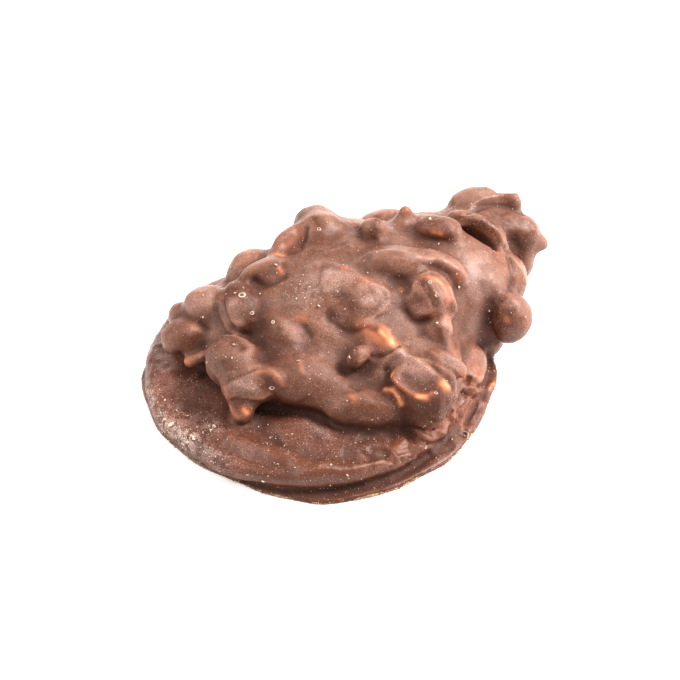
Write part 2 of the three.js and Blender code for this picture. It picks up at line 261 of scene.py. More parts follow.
# %% [markdown]
# ## Nuts under a thin coat
#
# These were pushed on last, so their edges are crisp and a dark line runs round each of them. The same
# form makes beads, fins, slivers and one square block, and only the sizes and the squareness differ.

# %% Add the nuts that stand out
THIN_NUTS = {
    "left_shoulder": ((-20.4, 5.8, 12.9), (4.5, 3.7, 3.9), (30, 0, 0), 2.2),
    "far_bump": ((-25.2, 6.8, 9.6), (2.6, 2.4, 3.0), (60, 0, 0)),
    "end_nut": ((-24.6, 1.4, 9.8), (4.2, 3.3, 3.0), (25, 18, 0), 2.3),
    "stub": ((-21.8, -2.9, 8.2), (2.9, 1.25, 1.25), (28, 4, 0), 3.2),
    "pillow": ((-9.8, 9.4, 18.2), (4.8, 2.2, 2.3), (22, 10, 0), 2.3),
    "bead": ((-8.0, 13.0, 18.9), (1.9, 1.0, 1.1), (4, 0, 0)),
    "leaning_piece": ((-5.9, 16.8, 19.6), (4.1, 1.5, 2.0), (46, 12, 0), 2.3),
    "small_ball": ((9.5, 16.3, 21.8), (2.7, 2.3, 2.7)),
    "far_nut": ((21.4, 17.7, 20.4), (4.7, 3.0, 3.0), (-12, 0, 0), 2.4),
    "fin": ((28.4, 22.4, 18.2), (5.8, 1.9, 2.4), (-16, -12, 0), 2.3),
    "fin_end": ((33.2, 19.8, 15.0), (4.0, 1.5, 2.0), (-80, -42, 0), 2.3),
    "ball": ((33.9, 6.6, 9.5), (4.6, 4.4, 5.1)),
    "broad_nut_ridge": ((5.0, 0.9, 18.0), (4.3, 2.1, 3.0), (-98, -34, 0), 2.2),
    "bright_tip": ((9.3, -4.1, 15.3), (3.9, 2.0, 2.5), (-18, -6, 0), 2.6),
    "tip_point": ((12.3, -5.0, 14.8), (1.9, 1.1, 1.4), (-34, -8, 0), 2.2),
    "small_cone": ((7.0, -9.0, 13.8), (2.6, 1.9, 2.6), (38, 18, 0)),
    "tear": ((-3.6, -9.9, 12.8), (1.0, 1.6, 1.4)),
    "crest": ((13.9, 8.8, 20.2), (6.6, 4.5, 3.2), (2, -4, -26), 2.8),
    "crest_end": ((21.4, 9.0, 19.2), (5.2, 2.5, 2.9), (-22, -16, 0), 2.4),
    "ringed_nut": ((19.3, 3.4, 16.9), (5.0, 4.6, 4.4), (95, 0, 0), 2.2),
    "ringed_nut_edge": ((23.2, 2.2, 17.4), (3.2, 0.9, 1.8), (-75, -34, 0), 2.2),
    "ringed_nut_knob": ((19.1, 3.5, 20.6), (1.5, 1.2, 1.4), (0, 0, 0)),
    "ringed_nut_nub": ((20.4, 2.0, 19.4), (2.2, 1.0, 1.4), (-66, -36, 0), 2.2),
    "bean": ((-14.3, 3.1, 15.0), (5.3, 3.3, 3.4), (-80, -22, 0), 2.2),
    "round_nut": ((-15.2, -7.4, 11.2), (5.0, 4.4, 4.9), (-35, 0, 0), 2.5),
    "wedge": ((-12.4, -12.4, 10.8), (4.9, 3.4, 3.8), (6, 0, 0), 2.8),
    "wedge_tip": ((-13.2, -14.4, 8.0), (3.6, 2.3, 2.6), (-105, -50, 0), 2.3),
    "wedge_ring": ((-8.4, -12.6, 11.6), (2.6, 1.8, 3.0), (-24, -18, 0), 2.2),
    "long_nut": ((7.2, -15.6, 8.2), (7.0, 3.4, 3.4), (-8, -2, 0), 2.2),
    "sliver": ((13.0, -14.2, 10.2), (2.0, 0.8, 1.5), (-45, -34, 0), 2.2),
    "block": ((18.0, -13.5, 10.8), (5.8, 4.6, 4.2), (-25, -6, 5), 4.2),
    "block_foot": ((17.2, -14.2, 7.3), (5.0, 3.7, 3.0), (-22, 0, 0), 2.8),
    "join_foot": ((13.6, -15.3, 4.6), (3.6, 2.8, 3.4)),
    "flat_patch": ((27.8, -0.6, 4.6), (2.3, 4.2, 1.8), (0, 0, 0), 3.4),
    "block_fin": ((22.5, -8.5, 12.0), (3.9, 1.6, 2.3), (-20, -20, 0), 2.2),
    "tail_point": ((38.9, 26.2, 11.3), (4.2, 1.8, 2.3), (0, -16, 0), 1.7),
    "tail_top": ((28.8, 31.4, 16.1), (5.2, 3.2, 3.2), (12, 0, 0), 2.2),
    "tail_ridge": ((32.5, 30.4, 16.2), (5.5, 1.3, 2.3), (10, 3, 0), 4.0),
    "tail_lobe": ((35.0, 26.8, 12.6), (6.4, 4.2, 4.3), (0, -10, 0), 2.3),
    "tail_low": ((36.4, 25.2, 8.2), (3.8, 3.6, 5.4), (0, 0, 0), 2.1),
    "back_high_left": ((-8.0, 21.0, 9.2), (5.0, 3.2, 3.8), (30, 0, 0), 2.2),
    "back_high_middle": ((1.5, 27.0, 10.8), (4.6, 3.2, 4.0), (-10, 0, 0), 2.2),
    "back_low_middle": ((-3.5, 25.0, 6.2), (4.4, 3.2, 3.0), (15, 0, 0), 2.2),
    "back_high_right": ((11.5, 30.0, 11.5), (5.4, 3.0, 3.6), (10, 10, 0), 2.3),
    "back_low_right": ((9.5, 30.0, 5.6), (5.0, 3.0, 3.2), (0, 0, 0), 2.4),
    "under_tail": ((20.5, 31.0, 8.2), (5.2, 3.4, 4.2), (-14, 8, 0), 2.3),
}
HOLLOWS = {
    "under_fin": ((28.4, 19.0, 17.2), (4.8, 1.7, 2.0), (-24, -16, 0)),
    "right_corner": ((30.0, -2.2, 8.0), (3.6, 5.0, 4.2), (0, 0, 0)),
    "under_front": ((-4.6, -17.6, 6.4), (6.6, 3.4, 3.0), (6, 0, 0)),
    "beside_stub": ((-19.0, -6.6, 6.4), (4.6, 2.4, 2.4), (-35, 0, 0)),
}
THIN_COAT = 0.4
THIN_VOXEL = 0.4

thin_nuts = [rounded_form(*nut) for nut in THIN_NUTS.values()]
heap = joined([heap, *thin_nuts], "heap")
remesh(heap, THIN_VOXEL)
for hollow in HOLLOWS.values():
    cutter = rounded_form(*hollow)
    apply_modifier(heap, "BOOLEAN", object=cutter, operation="DIFFERENCE", solver="MANIFOLD")
    bpy.data.objects.remove(cutter)
dip(heap, THIN_COAT, THIN_VOXEL, smoothing=2)
print("heap:", len(thin_nuts), "thin nuts,", faces_of(heap), "faces")

# %% [markdown]
# ## The puddle
#
# The base is chocolate that ran out and set: a disc with a rolled edge and a thin foot. It is drawn as a
# half section, from the middle of its top to the middle of its underside, and spun round like clay on a
# wheel. That gives even rings of corners, which are easy to move afterwards.

# %% Spin the puddle
PUDDLE_RADIUS = 30.6
PUDDLE_HEIGHT = 5.4
EDGE_ROUND = 2.2
EDGE_BENDS = range(15, 91, 15)
UNDERCUT = 1.4
FOOT_HEIGHT = 1.2
LOWER_EDGE = (  # out from the radius, and up from the table
    (0.0, 2.7),
    (-0.2, 2.2),
    (-UNDERCUT, FOOT_HEIGHT + 0.2),
    (-0.3, FOOT_HEIGHT),
    (0.01, FOOT_HEIGHT - 0.3),
    (0.01, 0.0),
)
SPIN_STEPS = 240
RING_STEP = 0.6


def half_section():
    """The puddle's outline from the middle of its top to the middle of its underside."""
    shoulder = PUDDLE_RADIUS - EDGE_ROUND
    rings = int(shoulder / RING_STEP)
    top = [(shoulder * ring / rings, PUDDLE_HEIGHT) for ring in range(rings + 1)]
    bends = [math.radians(angle) for angle in EDGE_BENDS]
    edge = [
        (shoulder + EDGE_ROUND * math.sin(bend), PUDDLE_HEIGHT - EDGE_ROUND * (1 - math.cos(bend)))
        for bend in bends
    ]
    low = [(PUDDLE_RADIUS + out, up) for out, up in LOWER_EDGE]
    return top + edge + low + [(0.0, 0.0)]


def spun_puddle():
    points = [(radius * MM, 0.0, height * MM) for radius, height in half_section()]
    mesh = bpy.data.meshes.new("puddle")
    mesh.from_pydata(points, [(k, k + 1) for k in range(len(points) - 1)], [])
    puddle = bpy.data.objects.new("puddle", mesh)
    bpy.context.scene.collection.objects.link(puddle)
    with editing(puddle):
        bpy.ops.mesh.spin(steps=SPIN_STEPS, angle=2 * math.pi, center=(0, 0, 0), axis=(0, 0, 1))
        bpy.ops.mesh.select_all(action="SELECT")
        bpy.ops.mesh.remove_doubles(threshold=0.001 * MM)
        bpy.ops.mesh.normals_make_consistent(inside=False)
    return puddle


puddle = spun_puddle()
print("puddle:", faces_of(puddle), "faces")

# %% [markdown]
# ## Moving many corners at once
#
# A sculptor moves the corners of a mesh with a brush. In code all the corners are read as one table of
# numbers, moved by a rule and written back. These helpers do the reading and the writing.

# %% Read and move the corners of a mesh
CENTRE = np.array(PUDDLE_CENTRE)


def read(items, name, width=1, kind=float):
    """One property of all the corners, edges or faces of a mesh, with a row for each."""
    flat = np.empty(len(items) * width, dtype=kind)
    items.foreach_get(name, flat)
    return flat.reshape(-1, width)


def places_of(piece):
    """The corners of a piece in millimetres, in the puddle's own frame."""
    return read(piece.data.vertices, "co", 3) / MM - CENTRE


def normals_of(piece):
    return read(piece.data.vertex_normals, "vector", 3)


def move_to(piece, places):
    piece.data.vertices.foreach_set("co", ((places + CENTRE) * MM).ravel())
    piece.data.update()


# %% [markdown]
# ## An uneven edge
#
# No drop of chocolate is truly round, so the rings of the disc are moved out and in by the angle round
# its middle. Slow waves make the outline wander, and lobes push it out where the chocolate ran further.
# The groove above the foot is deep at the front right and closes on the left. The top sags towards its
# edge and lies in low folds.

# %% Make the disc uneven
LEFT = 3.2  # radians round the disc from the right, as every angle here
LEFT_SPREAD = (1.5, 0.0, 0.6)  # the height of a lobe, its middle and its width
RIGHT_SPREAD = (1.2, 0.1, 0.35)
FRONT_GROOVE = (1.5, -1.5, 0.5)
FOOT_TUCK = (0.7, -2.3, 0.6)
GROOVE_DEPTH = 2.7
GROOVE_AT = -0.4
EDGE_WAVES = ((0.35, 3, 0.6), (0.25, 5, 2), (0.12, 11, 0))  # height, number and start
FOOT_WAVES = ((0.3, 4, 1), (0.25, 7, 0), (0.15, 16, 1))
FOOT_FROM = 5.0
FOLD_HEIGHT = 0.3
FOLDS = ((0.33, 0.21), (-0.1, 0.4))  # how fast the two folds run along x and y
SLUMP = 0.001
SLUMP_FROM = 8.0
LIFT_FADE = 2.0


def lobe(around, height, middle, width):
    """A height in one direction round the disc, falling to 0 on both sides of it."""
    return height * np.exp(-(((around - middle) / width) ** 2))


def waves(around, rows):
    return sum(height * np.sin(count * around + start) for height, count, start in rows)


def shape_puddle(puddle):
    x, y, z = (places_of(puddle) + CENTRE).T
    around = np.arctan2(y, x)
    radius = np.hypot(x, y)
    from_left = np.arctan2(np.sin(around - LEFT), np.cos(around - LEFT))
    spread = lobe(from_left, *LEFT_SPREAD) + lobe(around, *RIGHT_SPREAD)
    groove = GROOVE_DEPTH * np.maximum(np.cos(around - GROOVE_AT), 0) ** 3
    wall_reach = waves(around, EDGE_WAVES) - (groove + lobe(around, *FRONT_GROOVE))
    foot_reach = waves(around, FOOT_WAVES) - lobe(around, *FOOT_TUCK)
    in_foot = (z < FOOT_HEIGHT + 0.1) & (radius > FOOT_FROM)
    reach = np.where(in_foot, foot_reach, wall_reach) + spread
    radius = radius * (1 + reach / PUDDLE_RADIUS)
    (along_x, along_y), (across_x, across_y) = FOLDS
    folds = FOLD_HEIGHT * np.sin(along_x * x + along_y * y) * np.cos(across_y * y + across_x * x)
    lift = (folds - SLUMP * (radius - SLUMP_FROM) ** 2) * np.clip((z - FOOT_HEIGHT) / LIFT_FADE, 0, 1)
    move_to(puddle, np.stack([radius * np.cos(around), radius * np.sin(around), z + lift], axis=1))
    print("the puddle reaches", radius.min().round(1), "to", radius.max().round(1), "mm from its middle")


shape_puddle(puddle)

# %% [markdown]
# ## One piece of chocolate
#
# Heap and puddle are joined and remeshed finely. The underside set flat against the tray, so all below
# the base is cut off with one bisect, and its face is left as a single flat polygon. The heap's own
# surface is kept as a search tree first, because it still says which part of the skin is mound.

# %% Join and cut the base flat
FINE_VOXEL = 0.33
LAST_COAT = 0.3
BASE_LIFT = 0.25
SUNK_BELOW = 6.0


def surface_of(piece):
    """A search tree of the faces of a piece, which finds the nearest place or what a line hits."""
    return BVHTree.FromObject(piece, bpy.context.evaluated_depsgraph_get())


def cut_base(piece):
    """Cuts a thin slice off the underside, and lets what lies low sink back on to the table."""
    with editing(piece):
        bpy.ops.mesh.bisect(
            plane_co=(0, 0, BASE_LIFT * MM), plane_no=(0, 0, 1),
            use_fill=True, clear_inner=True, clear_outer=False,
        )
    places = places_of(piece)
    height = places[:, 2]
    print("cut at", round(height.min(), 3), "mm")
    sunk = height - BASE_LIFT * np.clip((SUNK_BELOW - height) / (SUNK_BELOW - BASE_LIFT), 0, 1)
    places[:, 2] = np.maximum(sunk, 0)
    move_to(piece, places)


heap_surface = surface_of(heap)
cluster = joined([heap, puddle], "cluster_skin")
remesh(cluster, FINE_VOXEL)
dip(cluster, LAST_COAT, FINE_VOXEL, smoothing=1)
cut_base(cluster)
print("cluster:", faces_of(cluster), "faces, lowest point", round(places_of(cluster)[:, 2].min(), 4), "mm")

# %% [markdown]
# ## Finding a place on the skin
#
# Small marks are placed where the photograph shows them. A mark is a line of pixels, and each pixel is a
# line of sight from the camera: where that line meets the skin, the mark lies. So a mark always sits on
# the chocolate, from whatever side it is seen.

# %% Trace a line of pixels on the skin
TRACE_STEP = 1.5
STROKE_REACH = 3  # widths, past which a stroke has no strength


def seen_at(surface, pixel):
    """The place and the direction of the skin at a pixel, in metres, or None for both."""
    return surface.ray_cast(camera.location, sight_line(pixel))[:2]


def skin_under(surface, pixel):
    """The place on the skin that the photograph shows at a pixel, or None beside the candy."""
    hit = seen_at(surface, pixel)[0]
    return hit and hit / MM - PUDDLE_CENTRE


def rounded_line(pixels):
    """Cuts the corners of a line of pixels twice, which makes it a smooth curve."""
    line = [Vector(pixel) for pixel in pixels]
    for _ in range(2):
        cut = [line[0]]
        for start, end in zip(line, line[1:]):
            cut += [start.lerp(end, 0.25), start.lerp(end, 0.75)]
        line = cut + [line[-1]]
    return line


def trace(surface, pixels):
    """The places on the skin along a line of pixels, close enough together to act as one stroke."""
    line = rounded_line(pixels)
    steps = []
    for start, end in zip(line, line[1:]):
        count = max(1, round((end - start).length / TRACE_STEP))
        steps += [start.lerp(end, step / count) for step in range(count)]
    hits = [skin_under(surface, pixel) for pixel in steps + [line[-1]]]
    return np.array([hit for hit in hits if hit is not None])


def closeness(places, line, width, sharpness=2.0):
    """For each place, 1 on a line of points and falling to 0 over the width."""
    strength = np.zeros(len(places))
    if not len(line):
        return strength
    reach = STROKE_REACH * width
    near = np.all((places > line.min(axis=0) - reach) & (places < line.max(axis=0) + reach), axis=1)
    near = np.flatnonzero(near)
    apart = np.linalg.norm(places[near, None] - line[None], axis=2).min(axis=1)
    strength[near] = np.exp(-((apart / width) ** sharpness))
    return strength


# %% [markdown]
# ## Facets
#
# A broken pecan has flat faces, and a thin coat shows them. Each facet here is a plane laid through the
# skin: what stands above the plane is pressed down on to it, inside a soft circle. The plane takes its
# slope from the skin around it, so only its middle, its radius and how deep it bites are given.

# %% Press the facets
FACETS = {
    "bean_face": ((236, 314), 2.4, 0.4),
    "wedge_top": ((250, 382), 2.6, 0.4),
    "wedge_front": ((240, 406), 2.0, 0.4),
    "block_top": ((418, 381), 4.2, 0.8),
    "block_wall": ((420, 408), 3.4, 0.3),
    "tip_face": ((376, 338), 2.2, 0.4),
    "broad_nut_left": ((337, 306), 2.4, 0.25),
    "broad_nut_right": ((368, 300), 2.6, 0.3),
    "ringed_nut_left": ((416, 305), 2.6, 0.6),
    "long_nut_face": ((366, 414), 2.8, 0.3),
    "tail_ridge_face": ((500, 203), 2.4, 0.5),
}


def press(places, normals, middle, radius, depth):
    """Moves what stands above a plane down on to it, inside a soft circle."""
    apart = np.linalg.norm(places - middle, axis=1)
    weight = np.exp(-((apart / radius) ** 4))
    facing = weight @ normals
    facing = facing / np.linalg.norm(facing)
    above = np.maximum((places - middle) @ facing + depth, 0)
    return places - facing * (above * weight)[:, None]


skin = surface_of(cluster)
places = places_of(cluster)
normals = normals_of(cluster)
for pixel, radius, depth in FACETS.values():
    places = press(places, normals, np.array(skin_under(skin, pixel)), radius, depth)
move_to(cluster, places)
print(len(FACETS), "facets pressed")

# %% [markdown]
# ## Ridges and creases
#
# Next come the lines: the raised edges of nuts, the dark creases around them, the folds of the puddle.
# Each one is a stroke with a width and a height in millimetres, like a stroke of a sculpting brush, and
# a height below zero makes a crease. Where two more numbers are given, they say how much the stroke
# rubbed the chocolate down to a darker brown, and how much pale nut shines through. In the creases,
# grooves and recesses and on walls that face down, the darker brown is painted shade, and on the folds
# of the puddle the second number is painted light. The material reads those later.

# %% Name the marks
MARKS = {
    # the left end
    "shoulder_ridge": (((187, 300), (197, 294), (210, 291)), 1.2, 0.3, 0.3),
    "shoulder_crease": (((183, 311), (195, 322), (206, 328)), 0.8, -0.5),
    "shoulder_low": (((205, 312), (211, 318), (216, 311)), 1.2, 0, 0.35),
    "shoulder_rub": (((198, 301), (206, 309), (212, 318)), 1.0, 0, 0.2),
    "end_nut_glow": (((192, 326), (196, 329)), 0.6, 0.1, 0, 0.5),
    "end_nut_worn": (((170, 328), (182, 337), (193, 343)), 1.8, 0, 0.85),
    "stub_top": (((180, 354), (190, 353), (203, 347)), 0.5, -0.4),
    "stub_glow": (((182, 359), (189, 363)), 0.7, 0, 0, 0.6),
    "bean_crease": (((222, 298), (224, 311), (228, 322), (236, 332), (250, 337)), 0.6, -0.6),
    "bean_ridge": (((243, 283), (249, 290), (250, 300), (252, 314), (258, 325)), 1.1, 0, 1.7),
    "bean_top_rub": (((231, 290), (238, 285), (246, 288)), 1.1, 0, 2),
    "bean_lip": (((220, 301), (221, 315), (227, 328), (238, 336), (252, 340)), 0.4, 0.3),
    "bean_spot": (((222, 299), (224, 295)), 0.4, 0, 0, 0.5),
    "bean_edge": (((230, 313), (235, 324), (240, 330)), 0.7, 0, 0, 0.3),
    # the upper left edge
    "pillow_top": (((242, 277), (254, 268), (267, 262), (281, 260), (291, 265)), 0.7, 0.3, 0, 0.1),
    "pillow_under": (((254, 280), (262, 287), (273, 283), (284, 276)), 0.8, -0.6),
    "pillow_rub": (((258, 273), (268, 268), (278, 264)), 0.8, 0, 0.6),
    "pillow_glow": (((279, 268), (282, 272)), 0.5, 0, 0, 0.65),
    "bead_glow": (((277, 254), (284, 256)), 0.6, 0, 0, 0.6),
    "leaning_glow": (((284, 246), (292, 240), (299, 233)), 1.2, 0, 0, 0.42),
    "leaning_crease": (((278, 256), (290, 254), (301, 249)), 0.6, -0.35),
    "crown_worn": (((295, 218), (301, 211), (312, 206)), 1.8, 0, 0.5),
    "crown_recess": (((314, 219), (318, 225)), 0.8, -0.4, 0.9),
    "leaning_side_crease": (((306, 228), (305, 238), (300, 246)), 0.5, -0.5, 0.4),
    "leaning_rub": (((277, 250), (284, 243), (291, 237)), 0.9, 0, 0.5, 0.1),
    # the far edge and the right end
    "ball_crease": (((357, 226), (359, 234), (366, 240), (375, 240)), 0.6, -0.6),
    "ball_rub": (((376, 217), (377, 225), (374, 231)), 0.7, 0.15, 1),
    "far_cone_rub": (((403, 213), (407, 208), (411, 212)), 0.8, 0.2, 0.6, 0.4),
    "far_nut_under": (((413, 228), (420, 236), (432, 240), (446, 241)), 0.6, -0.5),
    "far_nut_left_glow": (((418, 229), (424, 232)), 0.5, 0, 0, 0.45),
    "far_nut_glow": (((433, 232), (441, 234)), 0.5, 0, 0, 0.6),
    "far_nut_rub": (((420, 226), (428, 221), (438, 222), (446, 229)), 1.8, 0, 1),
    "fin_crest": (((456, 215), (466, 216), (479, 220), (491, 226), (499, 234), (502, 243)), 0.7, 0.5),
    "fin_glow": (((489, 232), (496, 237)), 0.5, 0, 0.3, 0.55),
    "fin_end_glow": (((498, 250), (499, 256)), 0.5, 0, 0.3, 0.4),
    "right_swell": (((487, 254), (492, 266), (490, 280)), 1.6, 0.4),
    "shoulder_right_crease": (((504, 248), (511, 262), (513, 277), (510, 291)), 0.8, -0.5),
    "ball_left_crease": (((500, 300), (492, 308), (488, 320), (491, 334), (498, 344)), 1.0, -0.6),
    "ball_rim": (((496, 305), (502, 301), (513, 300)), 0.35, 0.2, 0.5),
    "ball_worn": (((497, 312), (506, 318), (514, 328), (524, 330)), 2.4, 0, 1),
    "ball_worn_edge": (((527, 315), (528, 326), (522, 338)), 1.0, 0, 0.8, 0.3),
    "ball_low_worn": (((494, 328), (503, 338), (516, 338)), 1.8, 0, 1),
    "ball_crown": (((496, 316), (504, 310), (514, 309)), 0.5, 0, 1.4),
    "ball_face_worn": (((498, 324), (509, 331), (517, 322)), 1.4, 0, 0.5),
    "ball_spot": (((506, 318), (508, 321)), 0.5, 0, 0, 0.5),
    "tail_crease": (((468, 214), (481, 207), (495, 204), (508, 206), (522, 214)), 0.6, -0.6),
    "tail_ridge_line": (((470, 207), (480, 200), (492, 197), (504, 195), (516, 195)), 0.5, 0.4, 0.5, 0.1),
    "shoulder_flap": (((503, 251), (514, 259), (522, 271), (525, 284)), 0.6, 0.4, 0, 0.1),
    "ball_crevice": (((490, 303), (486, 314), (487, 328), (494, 342)), 0.9, -0.4, 0.3),
    "tail_worn": (((480, 222), (500, 220), (516, 230), (524, 245)), 2.8, 0, 1),
    "tail_ridge_worn": (((480, 204), (495, 200), (512, 202)), 1.2, 0, 0.6, 0.1),
    "tail_dent": (((512, 240), (520, 248), (519, 258)), 1.4, -0.7),
    "tail_bump": (((529, 223), (534, 230)), 1.0, 0.4),
    # right of the middle
    "crest_line": (
        (
            (360, 262), (369, 254), (380, 251), (395, 252), (409, 255), (423, 259), (438, 260), (451, 265),
            (460, 272),
        ),
        0.9, 0.4,
    ),
    "crest_rub": (((390, 254), (402, 253), (412, 256)), 0.5, 0, 0.5),
    "crest_valley": (((370, 270), (388, 273), (397, 281)), 1.8, -0.4, 0.4),
    "crest_end_under": (((424, 264), (438, 267), (450, 275), (458, 286)), 0.8, -0.5, 0.3),
    "crest_end_glow": (((457, 275), (460, 282)), 0.6, 0, 0.5, 0.6),
    "ring": (((413, 287), (418, 277), (428, 271), (438, 274), (447, 282), (453, 296), (456, 311)), 0.4, 0.35),
    "ring_glow": (((424, 277), (432, 276), (440, 280), (446, 289), (449, 300)), 0.7, 0.15, 0, 0.55),
    "ring_bright": (((436, 279), (442, 284)), 0.5, 0, 0, 0.75),
    "nub_rim": (((436, 285), (441, 292), (441, 300), (437, 305)), 0.3, 0.25, 0, 0.15),
    "ring_crease": (((421, 281), (424, 290), (430, 297), (434, 305)), 0.5, -0.4, 0.4),
    "nub": (((426, 281), (430, 287), (436, 293), (439, 302)), 0.7, 0.2, 1),
    "ringed_nut_low_crease": (((406, 312), (416, 324), (428, 320), (437, 317)), 0.6, -0.6),
    "ringed_nut_spot": (((431, 316), (437, 314)), 0.4, 0, 0, 0.6),
    # the middle
    "broad_nut_ridge": (((344, 290), (349, 297), (352, 306), (353, 316), (351, 326)), 1.1, 0.15, 1),
    "broad_nut_pocket": (((330, 318), (342, 330), (356, 334), (368, 327)), 1.3, -0.8),
    "broad_nut_end": (
        ((372, 284), (384, 287), (390, 298), (385, 309), (374, 317), (364, 321)),
        0.6, 0.4, 0, 0.05,
    ),
    "broad_nut_back": (((308, 269), (320, 263), (328, 263), (344, 268)), 0.7, 0.25, 0, 0.1),
    # painted shade in the valley between the crown and the broad nut
    "valley_worn": (((300, 252), (322, 248), (345, 246), (362, 250)), 2.8, 0, 0.95),
    "seam": (((323, 265), (320, 273), (318, 284)), 0.5, -0.15, 0.5),
    "tip_edge": (((366, 326), (376, 328), (387, 335), (394, 342)), 0.5, 0.1, 0, 0.1),
    "tip_glow": (((381, 332), (387, 337), (392, 343)), 0.6, 0.05, 0, 1.2),
    "tip_warmth": (((364, 330), (374, 334), (386, 343)), 1.5, 0, 0, 0.58),
    "tip_crease": (((374, 356), (382, 355), (390, 351), (398, 345)), 0.5, -0.7, 0.3),
    "tip_back_worn": (((352, 338), (362, 345), (371, 352)), 1.0, 0, 0.5),
    "cone_edge": (((355, 351), (353, 358), (353, 366)), 0.6, 0.4, 1.5, 0.2),
    "cone_pocket": (((342, 367), (352, 374), (362, 371), (369, 364)), 0.9, -0.7),
    "slant_ridge": (((271, 320), (277, 330), (285, 340), (294, 348)), 1.2, 0, 1),
    # painted shade on the lower left slope, which faces forward and down
    "left_slope_worn": (((268, 352), (284, 364), (302, 382), (330, 388)), 2.4, 0, 0.8),
    "mid_worn": (((284, 290), (300, 297), (316, 302)), 2.6, 0, 0.22),
    "hole": (((305, 328), (311, 336)), 0.8, -0.4, 0.8),
    "spot_left": (((300, 317), (304, 318)), 0.7, 0.1, 0, 0.5),
    "red_flake": (((341, 267), (346, 268)), 0.35, 0.3, 0, 0.6),
    "red_lump": (((362, 279), (366, 281)), 0.5, 0.35, 0, 0.5),
    "spot_right": (((400, 289), (402, 290)), 0.5, 0, 0, 0.4),
    "tear": (((299, 363), (301, 373)), 0.6, 0.4, 0, 0.35),
    # the right front
    "block_rim": (
        ((395, 371), (391, 377), (398, 384), (407, 391), (417, 397), (426, 398), (431, 393)),
        0.5, 0.4, 0, 0.5,
    ),
    "block_rim_left": (((393, 373), (391, 377)), 0.5, 0, 0, 1),
    "block_rim_front": (((418, 397), (425, 398)), 0.6, 0, 0, 1.05),
    "block_back": (((396, 350), (402, 355), (412, 358), (422, 365), (432, 373), (445, 381)), 0.7, 0.4),
    "block_corner": (((443, 383), (448, 387)), 0.7, 0.3, 0, 0.95),
    "block_dish": (((403, 374), (413, 381), (425, 387)), 1.8, -0.4),
    "block_crease": (((386, 370), (386, 380), (394, 388), (402, 396)), 0.6, -0.6),
    "ring_dent": (((404, 344), (409, 345)), 0.6, -0.3),
    "block_fin": (((430, 353), (440, 361), (451, 368), (463, 375)), 0.6, 0.5, 0.4),
    "block_fin_tip": (((460, 374), (465, 377)), 0.6, 0, 0.3, 0.55),
    "block_fin_under": (((432, 362), (441, 371), (450, 380), (455, 389)), 0.7, -0.7),
    "pointed_bump": (((436, 321), (440, 329), (444, 338)), 0.6, 0.3, 0.8),
    "pointed_bump_under": (((423, 333), (432, 341), (446, 346)), 1.0, -0.5),
    # painted shade on the front wall of the block, under its overhang
    "block_wall_worn": (((396, 404), (417, 412), (437, 410), (447, 398)), 2.4, 0, 2.2),
    "sliver": (((385, 389), (393, 390), (398, 397), (401, 404)), 0.45, 0.4, 0, 0.9),
    "long_nut_edge": (((351, 397), (362, 399), (378, 402), (394, 408)), 0.7, 0.35, 0.1, 0.1),
    "long_nut_rub": (((352, 405), (368, 408), (386, 411)), 1.3, 0, 1.1, 0.26),
    "long_nut_spot": (((351, 395), (355, 400)), 0.5, 0, 0, 0.6),
    "long_nut_dent": (((353, 386), (358, 389)), 0.8, -0.4),
    # the left front
    "wedge_front_edge": (((228, 397), (237, 395), (246, 397), (260, 399), (268, 395)), 0.45, 0.35, 0, 0.3),
    "wedge_left_edge": (((224, 386), (228, 397), (231, 409), (237, 418)), 0.5, 0.3, 0, 0.5),
    "wedge_ring": (((257, 372), (268, 371), (277, 376), (282, 385)), 0.6, 0.25, 0, 0.45),
    "wedge_hollow": (((263, 377), (267, 384)), 1.0, -0.4, 1.8, 0.1),
    "wedge_glow": (((244, 409), (247, 413)), 0.5, 0, 0, 1.0),
    "wedge_front_worn": (((236, 402), (242, 412), (246, 418)), 1.4, 0, 0.7, 0.25),
    "round_nut_arch": (((215, 341), (222, 337), (231, 338), (238, 343)), 0.7, 0.15, 1.6),
    # wear, and painted shade on the front left side of the round nut
    "round_nut_worn": (((214, 352), (222, 362), (231, 371)), 2.0, 0, 1),
    "round_nut_side": (((222, 352), (232, 360), (240, 367)), 1.8, 0, 0.6),
    "round_nut_recess": (((236, 344), (241, 347)), 0.8, -0.4, 2),
    "round_nut_edge": (((206, 353), (209, 364), (215, 375), (224, 386)), 0.5, 0.25, 0, 0.1),
    "wedge_crease": (((222, 385), (231, 378), (243, 373), (254, 369)), 0.7, -0.6),
    # the puddle
    # The glow given to the folds below is painted light, where they face the lamps.
    "fold": (
        ((231, 440), (251, 447), (272, 455), (287, 457), (297, 465), (313, 471), (328, 465)),
        1.4, 1.1, 0, 0.24,
    ),
    "fold_hollow": (((224, 450), (244, 459), (266, 466), (284, 470)), 1.8, -0.5),
    "fold_above": (((262, 428), (283, 444), (300, 452), (330, 458), (356, 453)), 1.6, -0.6),
    "fold_across": (((299, 478), (318, 472), (343, 470), (368, 466), (384, 458)), 1.2, 0.6, 0, 0.18),
    "fold_across_hollow": (((300, 462), (322, 461), (350, 462), (372, 457)), 1.1, -0.4),
    "sheen_swell": (((215, 420), (232, 428), (250, 432)), 1.8, 0.4),
    "right_fold_e": (((437, 418), (446, 416), (455, 410)), 0.7, 0.5, 0, 0.05),
    "right_fold_f": (((448, 402), (457, 396), (463, 388)), 0.7, 0.5, 0, 0.1),
    "right_fold_g": (((452, 424), (459, 412), (468, 400), (477, 391)), 0.5, 0.4, 0, 0.15),
    "dimple": (((275, 435), (279, 440)), 0.8, -0.5),
    "dimple_rim": (((279, 433), (284, 440)), 0.5, 0.2),
    "smooth_patch": (((303, 424), (314, 427), (325, 431)), 2.0, 0.5),
